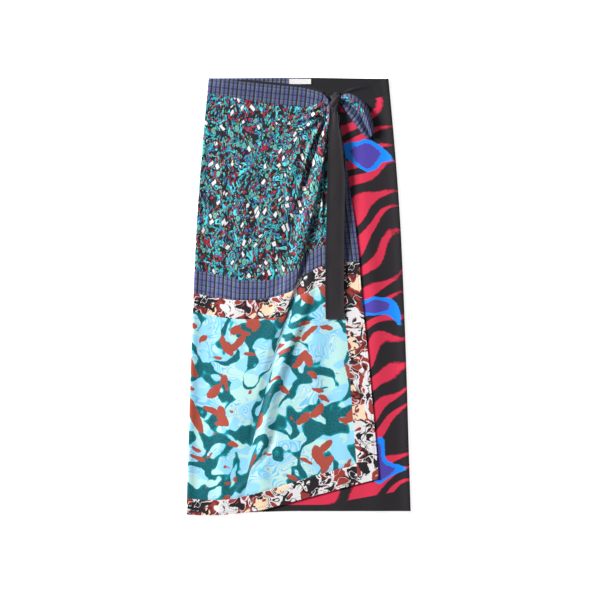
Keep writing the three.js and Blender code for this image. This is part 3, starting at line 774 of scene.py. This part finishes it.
def wash_print():
    dye = Dye("wash_print")
    colour = wet_ground(dye)
    swell = dye.noise(dye.stretch(dye.cut, shift=6.1), 23, 1.0)
    swell = dye.times(dye.less(swell, 0.36), 0.36)
    branch = dye.noise(dye.stretch(dye.wander(dye.cut, 70, 0.006), y=0.85, shift=1.3), 17.5, 1.0, 0.6)
    colour = dye.lay(colour, ink("turquoise"), branches(dye, branch, 0.5, dye.plus(swell, 0.007), 0.008))
    colour = dye.lay(colour, ink("teal"), branches(dye, branch, 0.5, swell, 0.006))
    speck = dye.plus(0.25, dye.times(dye.step(dye.noise(dye.cut, 420, 2.0), 0.4, 0.6), 0.6))
    heart = branches(dye, branch, 0.497, dye.less(swell, 0.02), 0.014)
    colour = dye.lay(colour, ink("dark_teal"), dye.times(heart, speck))
    brush = dye.wander(dye.wander(dye.cut, 16, 0.03), 110, 0.005)
    for slant, density, reach, shift in PATCHES:
        patches = dye.stretch(dye.turned(brush, slant), y=0.36, shift=shift)
        colour = dye.lay(colour, ink("rust"), spots(dye, patches, density, 0.5, reach, 0.02))
    return weave(dye, colour, heather=0.12)


WASH = wash_print()


# %% [markdown]
# ## The border's print
# Rust, maroon, cream and white run round each other along the strip, as marbling ink does. Black strokes that
# swell and taper wind through them and along their meeting lines, with a thin white line here and there.

# %% Marbled print
def marbled_print():
    dye = Dye("marbled_print")
    at = dye.wander(dye.cut, 46, 0.012)
    ground = dye.noise(dye.stretch(at, shift=3.7), 25, 1.0, 0.9)
    colour = dye.lay(ink("rust_red"), ink("maroon"), branches(dye, ground, 0.47, 0.03, 0.006))
    colour = dye.lay(colour, ink("cream"), dye.step(ground, 0.575, 0.58))
    pool = dye.noise(dye.stretch(at, y=1.15), 17, 1.0, 1.5)
    colour = dye.lay(colour, ink("chalk"), dye.step(pool, 0.465, 0.47))
    colour = dye.lay(colour, ink("rust_red"), dye.step(pool, 0.615, 0.62))
    winding = dye.noise(dye.stretch(at, shift=4.4), 27, 1.0, 1.2)
    swell = dye.less(dye.noise(dye.stretch(dye.cut, shift=8.2), 36, 1.0), 0.4)
    for pattern, centre, share in ((winding, 0.45, 0.28), (pool, 0.465, 0.12), (pool, 0.545, 0.15)):
        stroke = branches(dye, pattern, centre, dye.times(swell, share), 0.003)
        colour = dye.lay(colour, ink("night"), stroke)
    colour = dye.lay(colour, ink("chalk"), branches(dye, winding, 0.54, 0.01, 0.004))
    return weave(dye, colour)


MARBLED = marbled_print()


# %% [markdown]
# ## The underlap's print
# Broad red waves taper out over black towards the side fold, and are broader in the lower half. A few wider
# violet ones edged in azure lie over them. The foot of the piece is plain black.

# %% Wave print
WAVE_PITCH, LONG_PITCH = 0.05, 0.3  # metres down the cloth from one wave to the next
LONG_START = 0.075
PLAIN_FOOT = 0.788
FULL_TURN = 6.2832


def red_waves(dye, inset, drift, ragged):
    """Above nought inside the red waves, and below it on the black."""
    turns = dye.plus(dye.calc("DIVIDE", dye.down, WAVE_PITCH), dye.times(inset, -7.5))
    turns = dye.plus(turns, dye.times(drift, 5.0))
    wave = dye.calc("SINE", dye.times(turns, FULL_TURN))
    taper = dye.less(1.1, dye.times(dye.step(inset, -0.01, 0.08), 1.3))
    edge = dye.plus(dye.less(wave, taper), dye.times(dye.less(ragged, 0.5), 0.7))
    return dye.plus(edge, dye.times(dye.step(dye.down, 0.4, 0.6), 0.25))


def long_waves(dye, inset, drift, ragged):
    """About a half at the edge of the violet waves, and more inside them."""
    turns = dye.plus(dye.calc("DIVIDE", dye.less(dye.down, LONG_START), LONG_PITCH), dye.times(inset, 2.5))
    turns = dye.plus(turns, dye.times(dye.less(drift, 0.5), 1.6))
    wave = dye.calc("SINE", dye.times(turns, FULL_TURN))
    pull = dye.times(dye.calc("ABSOLUTE", dye.less(inset, 0.06)), 8.0)
    return dye.less(dye.less(wave, pull), dye.times(ragged, 0.12))


def wave_print():
    dye = Dye("wave_print")
    drift = dye.noise(dye.cut, 6, 1.0)
    ragged = dye.noise(dye.stretch(dye.cut, y=2.0, shift=1.9), 90, 2.0)
    inset = dye.calc("ABSOLUTE", dye.across)
    edge = red_waves(dye, inset, drift, ragged)
    colour = dye.lay(ink("black_ink"), ink("deep_red"), dye.step(edge, -0.1, 0.0))
    colour = dye.lay(colour, ink("red"), dye.step(edge, 0.05, 0.25))
    edge = long_waves(dye, inset, drift, ragged)
    colour = dye.lay(colour, ink("azure"), dye.step(edge, 0.5, 0.54))
    colour = dye.lay(colour, ink("purple"), dye.step(edge, 0.68, 0.72))
    colour = dye.lay(colour, ink("black_ink"), dye.step(dye.down, PLAIN_FOOT, PLAIN_FOOT + 0.0015))
    return weave(dye, colour)


WAVES = wave_print()


# %% [markdown]
# ## Plain cloths
# The facing, the knot, the tie's end and the underlap's waistband are a black ribbed cloth. The tie's end is
# a slightly lighter black than the knot, which is painted light, and the underlap's waistband a slightly
# darker one, which is painted shade. The label is bare and white.

# %% Plain black and plain white
def plain_cloth(name, first, second, heather, twill, sheen):
    dye = Dye(name)
    colour = dye.lay(ink(first), ink(second), dye.times(dye.noise(dye.cut, 140, 3.0), 0.3))
    return weave(dye, colour, heather=heather, rough=0.7, sheen=sheen, twill=twill)


BLACK = plain_cloth("black_cloth", "black_ink", "soot", 0.2, 0.0016, 0.03)
# Painted light: a lighter black for the tie's end.
LIT_RIBBON = plain_cloth("lit_black_ribbon", "lit_ribbon_black", "soot", 0.2, 0.0016, 0.03)
# Painted shade: a darker black for the underlap's waistband.
SHADED_BAND_BLACK = plain_cloth("shaded_black_waistband", "night", "black_ink", 0.2, 0.0016, 0.02)
WHITE = plain_cloth("label_cloth", "chalk", "chalk", 0.04, 0.0007, 0.1)


# %% [markdown]
# ## The wrap half
# Eight pieces: the waistband, the upper panel, the checked and the marbled band, the lower panel and the hem,
# which all go round the side fold, and the band down the free edge in two lengths. A print is measured from
# the middle of the side fold and runs on unbroken round it.

# %% Columns and rows of the cloth's mesh
FINE = 2
BACK_SEAM = -2  # u at the centre back
BEHIND_COLUMNS = [(BACK_SEAM, -1, 8), (-1, 0, 4)]
FRONT_COLUMNS = [8, 8, 5, 4, 4, 3, 3, 4, 4, 12, 5]  # of the mesh, from each fold line to the next
STRIP_ROWS = [18, 60, 8, 7, 60, 7]  # and from each seam to the next


def numbers(spans):
    """Even steps through a list of (from, to, count)."""
    parts = [np.linspace(a, b, n * FINE, endpoint=False) for a, b, n in spans]
    return np.append(np.concatenate(parts), spans[-1][1])


def wrap_columns(first, last):
    front = [(i, i + 1, FRONT_COLUMNS[i]) for i in range(max(first, 0), last)]
    return numbers((BEHIND_COLUMNS if first < 0 else []) + front)


def wrap_rows(top, foot):
    return numbers([(i, i + 1, STRIP_ROWS[i]) for i in range(top, foot)])


def fold_column(columns):
    """The column at the middle of the side fold, or the first one where a piece lies at the front alone."""
    return int(np.argmin(abs(columns + 0.5)))


column_count, row_count = len(wrap_columns(BACK_SEAM, EDGE)), len(wrap_rows(WAIST, HEM))
print("the wrap has", column_count, "columns across it and", row_count, "rows down it")


# %% Cut the wrap half
def wrap_piece(name, top, foot, finish, sewn, first=BACK_SEAM, last=BAND):
    columns = wrap_columns(first, last)
    points = wrap_point(*np.meshgrid(columns, wrap_rows(top, foot), indexing="ij"))
    piece, flat, area = cloth(name + "_cloth", points, finish, name, sewn=sewn, cut_from=fold_column(columns))


# The waistband and the band down the free edge take the check darkened by painted shade.
wrap_piece("waistband_check", WAIST, WAIST_SEAM, SHADED_CHECK, ("foot",), last=FOOT)
wrap_piece("upper_panel", WAIST_SEAM, UPPER_FOOT, PEBBLE, ("top", "foot"))
wrap_piece("check_band", UPPER_FOOT, CHECK_FOOT, CHECK, ("top", "foot"))
wrap_piece("border_band", CHECK_FOOT, BORDER_FOOT, MARBLED, ("top", "foot"))
wrap_piece("lower_panel", BORDER_FOOT, HEM_SEAM, WASH, ("top", "foot"))
wrap_piece("hem_band", HEM_SEAM, HEM, MARBLED, ("top",))
wrap_piece("side_band_check", WAIST_SEAM, CHECK_FOOT, SHADED_CHECK, ("foot",), first=BAND, last=EDGE)
wrap_piece("side_band_border", CHECK_FOOT, HEM, MARBLED, ("top",), first=BAND, last=EDGE)

# %% [markdown]
# ## The underlap half
# A black waistband and one long panel, which go round the other side fold and reach under the wrap.

# %% Cut the underlap half
UNDERLAP_COLUMNS = numbers(BEHIND_COLUMNS + [(0, 1, 36)])


def underlap_piece(name, rows, finish, sewn):
    points = underlap_point(*np.meshgrid(UNDERLAP_COLUMNS, rows, indexing="ij"))
    fold = fold_column(UNDERLAP_COLUMNS)
    piece, flat, area = cloth(name + "_cloth", points, finish, name, sewn=sewn, cut_from=fold)


# The underlap's waistband is in the black darkened by painted shade.
underlap_piece("waistband_black", numbers([(0, 1, 8)]), SHADED_BAND_BLACK, ("foot",))
underlap_piece("underlap_panel", numbers([(1, 2, 90)]), WAVES, ("top",))

# %% [markdown]
# ## Facing and label
# The wrap's waistband is faced in black, and the facing peeks out along its top edge. The label is sewn
# inside the back, and it is left bare.

# %% Facing
FACING_LEFT, FACING_RIGHT = -139, 50
FACING_EASE = 40  # it comes out over this stretch from its left end
FACING_PEEKS = 5.6
FACING_TUCKED = 6
line_numbers = np.linspace(0, VALLEY, 200)
waist_v = smooth(SEAM_COLUMNS, SEAM_V[WAIST], line_numbers)
waist_x = smooth(SEAM_COLUMNS, section(waist_v)[0], line_numbers)
across = np.linspace(FACING_LEFT, FACING_RIGHT, 90)[:, None]
waist_edge = np.interp(across, waist_x, waist_v)
peek = FACING_PEEKS * ease((across - FACING_LEFT) / FACING_EASE)
v = mix(waist_edge - peek, waist_edge + FACING_TUCKED, np.linspace(0, 1, 7))
facing = place(np.broadcast_to(across, v.shape), v, FRONT_Z)
piece, flat, area = cloth("waist_facing_cloth", facing, BLACK, "waist_facing", thick=0.8)

# %% Label
LABEL_MIDDLE, LABEL_HALF = 3.2, 21.8
LABEL_TOP, LABEL_FOOT = 2.4, 12.8
LABEL_LIFT, LABEL_CURL = 0.35, 0.25
label_x = np.linspace(LABEL_MIDDLE - LABEL_HALF, LABEL_MIDDLE + LABEL_HALF, 30)
x, v = np.meshgrid(label_x, np.linspace(LABEL_TOP, LABEL_FOOT, 9), indexing="ij")
curl = LABEL_CURL * (abs(x - LABEL_MIDDLE) / LABEL_HALF) ** 4
label = place(x, v, CLOTH + GAP + LABEL_LIFT + curl)
piece, flat, area = cloth("label_cloth", label, WHITE, "label", thick=0.5)

# %% [markdown]
# ## The hanging end of the tie
# The end hangs from the knot and lies over the wrap's folds. It touches only their high points, like a ruler
# laid on them, so its height is a line over the highest ones. Its free side droops a little towards the cloth
# between them, its lower end settles on the cloth, and its long edges curl up very slightly.

# %% Height of the tie over the folds
TIE_RESTS_FROM = 12  # the folds this far left of the tie carry it too
TIE_CLEAR = 0.7
TIE_V = [62, 95, 127, 165, 207, 285, 425, 483]
TIE_LEFT = [62.4, 60.6, 60, 58.8, 57.6, 55.8, 53.4, 54.6]
TIE_RIGHT = [78, 80.4, 86, 89.8, 93.2, 91.8, 90.8, 91.4]


def tie_on_cloth(x, v):
    return wrap_z(x, v) + CLOTH / 2 + GAP + TIE_CLEAR


def tie_height():
    """The points that carry the tie: the upper side of a string drawn tight over the folds."""
    v = np.linspace(TIE_V[0], TIE_V[-1], 60)
    left, right = smooth(TIE_V, TIE_LEFT, v), smooth(TIE_V, TIE_RIGHT, v)
    edge = smooth(FOLD_V, FOLD_X[:, -1], v)
    x = mix(left - TIE_RESTS_FROM, np.minimum(right, edge), np.linspace(0, 1, 13)[:, None])
    high = tie_on_cloth(x, v + 0 * x).max(axis=0)
    carrying = [0]
    for i in range(1, len(v)):
        while len(carrying) > 1:
            a, b = carrying[-2:]
            if high[b] > mix(high[a], high[i], (v[b] - v[a]) / (v[i] - v[a])):
                break
            carrying.pop()
        carrying.append(i)
    return v[carrying], high[carrying] + 0.1


tie_knots, tie_tops = tie_height()
print("the tie touches the folds in", len(tie_knots), "places")

# %% Tie end
# Where each of its own forms starts down the skirt, and the stretch over which it grows or fades.
GATHER_FROM, GATHER_EASE = 64, 60
SWELL_FROM, SWELL_EASE, SWELL_LENGTH = 74, 60, 31
DROOP_FROM, DROOP_EASE = 110, 80
SETTLE_FROM, SETTLE_EASE = 380, 90
t, down = np.meshgrid(np.linspace(0, 1, 15), np.linspace(TIE_V[0], TIE_V[-1], 150), indexing="ij")
x = mix(smooth(TIE_V, TIE_LEFT, down), smooth(TIE_V, TIE_RIGHT, down), t)
curl = 0.7 * abs(2 * t - 1) ** 5
swell = 0.5 * np.sin((down - SWELL_FROM) / SWELL_LENGTH) * np.sin(np.pi * t) ** 2
swell = swell * ease((down - SWELL_FROM) / SWELL_EASE)
gather = 0.6 * np.cos(t * np.pi * 3) * (1 - ease((down - GATHER_FROM) / GATHER_EASE))
droop = 0.3 * t * ease((down - DROOP_FROM) / DROOP_EASE) + 0.5 * ease((down - SETTLE_FROM) / SETTLE_EASE)
taut = smooth(tie_knots, tie_tops, down)
height = mix(taut, np.minimum(tie_on_cloth(x, down), taut), np.minimum(droop, 0.9))
tie_end = place(x, down, height + abs(curl + swell) + gather)
# The tie's end is in the black lightened by painted light.
piece, flat, area = cloth("tie_end_cloth", tie_end, LIT_RIBBON, "tie_end", thick=1.1)


# %% [markdown]
# ## The knot
# Turns of the tie, one over the other. Each turn is a flattened roll of cloth that follows a short path over
# the knot's body, wide where it lies flat and narrow where it dives under.

# %% Close a tube
ROLL_STEPS, ROLL_AROUND = 40, 36


def capped(surface):
    """A tube of rings, closed by a fan of triangles at each end: its points and faces."""
    points = np.concatenate([surface.reshape(-1, 3), surface[[0, -1]].mean(axis=1)])
    grid = np.arange(ROLL_STEPS * ROLL_AROUND).reshape(ROLL_STEPS, ROLL_AROUND)
    turned = np.roll(grid, -1, axis=1)
    quads = np.stack([grid[:-1], grid[1:], turned[1:], turned[:-1]], -1).reshape(-1, 4)
    start_cap = np.stack([np.full(ROLL_AROUND, grid.size), turned[0], grid[0]], -1)
    end_cap = np.stack([np.full(ROLL_AROUND, grid.size + 1), grid[-1], turned[-1]], -1)
    turn = 1 if faces_out(points, quads) else -1
    return points, [face[::turn] for face in quads.tolist() + start_cap.tolist() + end_cap.tolist()]


# %% A roll of cloth
PLEAT_DEPTH, PLEAT_TWIST = 0.09, 2.5
KNOT_FOOT = FRONT_Z + 0.7


def roll(name, path, width, height, pleats, where=None):
    """A flattened roll along a path of (x, v, z), with small pleats down its upper side."""
    t = np.linspace(0, 1, ROLL_STEPS)
    knots = np.linspace(0, 1, len(path))
    centre = np.stack([smooth(knots, [point[k] for point in path], t) for k in range(3)], axis=-1)
    half, tall = smooth(knots, width, t)[:, None], smooth(knots, height, t)[:, None]
    along = np.gradient(centre, axis=0)
    side = unit(np.cross(along, [0, 0, 1.0]))
    up = unit(np.cross(side, along))
    angle = np.linspace(0, 2 * np.pi, ROLL_AROUND, endpoint=False)
    pleat = 1 + PLEAT_DEPTH * np.cos(pleats * angle + PLEAT_TWIST * t[:, None]) * (np.sin(angle) > 0)
    ring = half[..., None] * np.cos(angle)[None, :, None] * side[:, None]
    ring = ring + (tall * np.sin(angle) * pleat)[..., None] * up[:, None]
    surface = centre[:, None] + ring
    surface[..., 1] = WAIST_Y - surface[..., 1]
    surface[..., 2] = np.maximum(surface[..., 2], KNOT_FOOT)
    girth = np.broadcast_to(angle[None] * half * MM, surface.shape[:2])
    length = np.broadcast_to(measured(centre[:, None], 0), surface.shape[:2])
    cut = np.stack([girth, length], -1).reshape(-1, 2)
    points, faces = capped(surface)
    piece = add_mesh(name, points, faces, np.concatenate([cut, cut[[0, -1]]]), BLACK, where)
    piece.data.shade_smooth()
    print(name, "with", len(faces), "faces")


# %% Knot
roll(
    "knot_body",
    path=[(77.5, 30, 3.4), (75, 41, 6.6), (73.5, 55, 9), (71, 71, 9.5)],
    width=[6, 8.3, 8.8, 8.6],
    height=[1.2, 4.4, 5.4, 4.2],
    pleats=4,
    where="knot",
)
roll(
    "knot_turn",
    path=[(65, 63, 7), (69, 55, 12), (76, 46, 12.5), (84, 38, 7)],
    width=[4.5, 7.5, 7.5, 4.5],
    height=[2.2, 3, 3, 2],
    pleats=4,
)
roll(
    "knot_tuck",
    path=[(66.5, 36, 6), (70, 42, 11), (77.5, 54, 12), (79, 66, 7.5)],
    width=[3.5, 5, 4.5, 3.2],
    height=[1.8, 2.2, 2.4, 1.8],
    pleats=3,
)

# %% [markdown]
# ## The bow's loop
# The loop lies on the underlap like a leaf with a hollow down its middle: its upper edge rolls up into a rim,
# its lower one into a smaller ridge, and both narrow towards the knot. A strip of the upper panel's cloth
# shows along the inner side of the rim.

# %% Leaf shape of the bow's loop
# Sections from the knot to the tip: the two edges, and how high the rim, the hollow and the ridge stand.
LEAF = {
    "upper_x": [82.3, 89, 99, 111, 123, 133, 141, 146, 150, 150, 148],
    "upper_v": [40.5, 34.5, 32.2, 35.8, 42.8, 50.8, 64.8, 80.8, 98.8, 109, 116],
    "lower_x": [82.3, 86, 90, 95, 103, 113, 119, 125, 132, 138, 141.5],
    "lower_v": [48.5, 55.6, 62.8, 68.8, 78.8, 92.8, 100.8, 108.8, 115.8, 120, 122.5],
    "rim": [3, 7, 10, 12, 13, 13, 12.5, 11.5, 9.5, 6.5, 3],
    "hollow": [2, 1.4, 0.6, 0.4, 0.4, 0.4, 0.6, 1, 1.8, 2.6, 2],
    "ridge": [2, 3.6, 4.8, 5.8, 6.4, 6.6, 6.6, 6.4, 5.8, 4.6, 2.6],
}
LEAF_ACROSS = [0, 0.14, 0.34, 0.45, 0.55, 0.7, 0.87, 1]


def leaf_points(u, t):
    """u runs from the knot to the tip, and t from the upper edge to the lower one."""
    sections = range(len(LEAF["rim"]))
    upper_x, upper_v, lower_x, lower_v, rim, hollow, ridge = (smooth(sections, LEAF[key], u) for key in LEAF)
    x, v = mix(upper_x, lower_x, t), mix(upper_v, lower_v, t)
    across = [0 * rim, 0.85 * rim, rim, 0.55 * rim, hollow, 0.5 * ridge, ridge, 0 * rim]
    pucker = 0.5 * np.sin(u * 2.9) * np.sin(np.pi * t) ** 2
    rise = smooth(LEAF_ACROSS, across, t) + pucker
    return place(x, v, underlap_z(x, v) + CLOTH + GAP + np.maximum(rise, 0))


# %% Bow loop and its inner strip
STRIP_MIDDLE, STRIP_REACH = 0.37, 0.15  # its middle and half width, as shares of the leaf's width
STRIP_LIFT = 0.85
u, t = np.meshgrid(np.linspace(0, 10, 110), np.linspace(0, 1, 40), indexing="ij")
# The loop takes the check darkened by painted shade.
piece, flat, area = cloth("bow_loop_cloth", leaf_points(u, t), SHADED_CHECK, "bow_loop", thick=1.0)

u, side = np.meshgrid(np.linspace(0.4, 5.6, 60), np.linspace(-1, 1, 9), indexing="ij")
reach = STRIP_REACH * np.sin(np.pi * np.clip((u - 0.1) / 6.2, 0, 1)) ** 0.5 * (1 - 0.05 * u)
inside = leaf_points(u, STRIP_MIDDLE + side * reach)
way_out = normals(inside)
inside = inside + way_out * STRIP_LIFT * np.sign(way_out[..., 2:3])
piece, flat, area = cloth("bow_loop_inner_strip", inside, PEBBLE, None, thick=0.5)

# %% [markdown]
# ## Stitching
# A lockstitch shows as short bars of thread, about three millimetres apart. Rows of them run along the
# waistband, the hems and the free edges, and on the back's black waistband beside the label.

# %% Stitches
PITCH, THREAD = 3.0, 0.42
REACH = PITCH * 0.36
BAR_SQUEEZE = 0.7
# A bar's six corners: along the row, across it and up.
BAR = [
    (-REACH, 0, -0.1), (-REACH * 0.5, THREAD, 0.12), (-REACH * 0.5, -THREAD, 0.12),
    (REACH * 0.5, THREAD, 0.2), (REACH * 0.5, -THREAD, 0.2), (REACH, 0, -0.1),
]
BAR_FACES = np.array([(0, 2, 1), (1, 2, 4), (1, 4, 3), (3, 4, 5), (0, 1, 5), (1, 3, 5), (0, 5, 2), (2, 5, 4)])


def stitches(name, path, finish):
    """A row of stitches along a path of surface points, each a small pointed bar with six corners."""
    far = np.concatenate([[0], np.cumsum(np.linalg.norm(np.diff(path, axis=0), axis=1))])
    at = np.arange(PITCH / 2, far[-1] - PITCH / 2, PITCH)
    centre = np.stack([np.interp(at, far, path[:, k]) for k in range(3)], axis=-1)
    along = unit(np.gradient(centre, axis=0))
    side = unit(np.cross(along, [0, 0, 1.0]))
    up = np.cross(side, along)
    corners = [centre + a * along + b * side * BAR_SQUEEZE + c * up for a, b, c in BAR]
    points = np.stack(corners, axis=1).reshape(-1, 3)
    bars = np.arange(len(centre))[:, None, None] * len(BAR)
    faces = (bars + BAR_FACES[None]).reshape(-1, 3).tolist()
    piece = add_mesh(name, points, faces, points[:, :2] * MM, finish)
    print(name, "with", len(centre), "bars")


def thread_colour(name):
    dye = Dye(name)
    return weave(dye, dye.lay(ink(name), ink("soot"), 0.08), heather=0.1, rough=0.5)


DARK_THREAD, RUST_THREAD = thread_colour("dark_thread"), thread_colour("rust_thread")


# %% Rows of stitches
def surface(point, u, seam):
    """Points on the outer side of a half, found a little way across and down from each to get its slope."""
    points = point(u, seam)
    across, down = point(u + 0.004, seam) - points, point(u, seam + 0.002) - points
    return points + unit(np.cross(down, across)) * (SHEET / 2)


# How far inside its edge each row runs, as a share of the strip or band there.
HEM_INSET, WAIST_INSET, SIDE_INSET, UNDERLAP_INSET = 0.17, 0.08, 0.12, 0.008
u = np.linspace(0.02, BAND - 0.02, 400)
stitches("hem_stitches", surface(wrap_point, u, 0 * u + HEM - HEM_INSET), RUST_THREAD)
u = np.linspace(0.02, VALLEY - 0.1, 300)
stitches("waist_stitches", surface(wrap_point, u, 0 * u + WAIST + WAIST_INSET), DARK_THREAD)
seam = np.linspace(CHECK_FOOT + 0.02, HEM - 0.05, 400)
stitches("side_stitches", surface(wrap_point, 0 * seam + EDGE - SIDE_INSET, seam), RUST_THREAD)
seam = np.linspace(WAIST_SEAM + 0.3, CHECK_FOOT - 0.02, 300)
stitches("upper_side_stitches", surface(wrap_point, 0 * seam + EDGE - SIDE_INSET, seam), DARK_THREAD)
corner = np.array([[27, 11], [70, 11], [70, 2.5]])
band_path = place(corner[:, 0], corner[:, 1], BACK_Z + SHEET / 2 + 0.05)
stitches("back_band_stitches", band_path, DARK_THREAD)
u = np.linspace(0.01, 0.98, 300)
underlap_row = surface(underlap_point, u, 0 * u + 2 - UNDERLAP_INSET)
stitches("underlap_hem_stitches", underlap_row, DARK_THREAD)

# %% [markdown]
# ## Table, light and camera
# A pale table that glows a little, as for cut-out pictures, a large soft light from the upper left that rakes
# over the folds, and a weaker one from the right. The camera looks straight down from six metres with a long
# lens, which shows 1.2 metres there, so nothing leans outwards. The picture is developed without a film
# curve, so a dye looks as it was mixed.

# %% Table
bpy.ops.mesh.primitive_plane_add(size=30, location=(0, 0, -0.0002))
table = bpy.context.object
table.name = "table"
paper = bpy.data.materials.new("pale_table")
paper.use_nodes = True
paper_shader = paper.node_tree.nodes["Principled BSDF"]
paper_shader.inputs["Base Color"].default_value = (0.9, 0.9, 0.9, 1)
paper_shader.inputs["Roughness"].default_value = 0.9
paper_shader.inputs["Emission Color"].default_value = (1, 1, 1, 1)
paper_shader.inputs["Emission Strength"].default_value = 0.75
table.data.materials.append(paper)
print("a table", round(table.dimensions.x), "metres wide")


# %% Lights
AIM = (0.0, 0.05, 0.0)


def lamp(name, at, size, power):
    light = bpy.data.lights.new(name, "AREA")
    light.size = size
    light.energy = power
    made = bpy.data.objects.new(name, light)
    bpy.context.scene.collection.objects.link(made)
    made.location = at
    made.rotation_euler = (Vector(AIM) - Vector(at)).to_track_quat("-Z", "Y").to_euler()
    print(name, "lamp,", size, "metres wide")


lamp("window", (-6.6, 3.9, 3.2), 1.9, 1780)
lamp("reflector", (5.6, -1.6, 5.0), 3.0, 45)
sky = bpy.data.worlds.new("room")
bpy.context.scene.world = sky
sky.use_nodes = True
background = sky.node_tree.nodes["Background"]
background.inputs["Color"].default_value = (1, 1, 1, 1)
background.inputs["Strength"].default_value = 0.2
bpy.context.scene.view_settings.view_transform = "Standard"

# %% Camera
lens = bpy.data.cameras.new("camera")
lens.lens = 180
lens.sensor_width = 36
lens.clip_end = 50
camera = bpy.data.objects.new("camera", lens)
bpy.context.scene.collection.objects.link(camera)
camera.location = (0.003, -0.007, 6.003)
bpy.context.scene.camera = camera
print("the camera hangs", round(camera.location.z, 1), "metres up, with a", round(lens.lens), "mm lens")
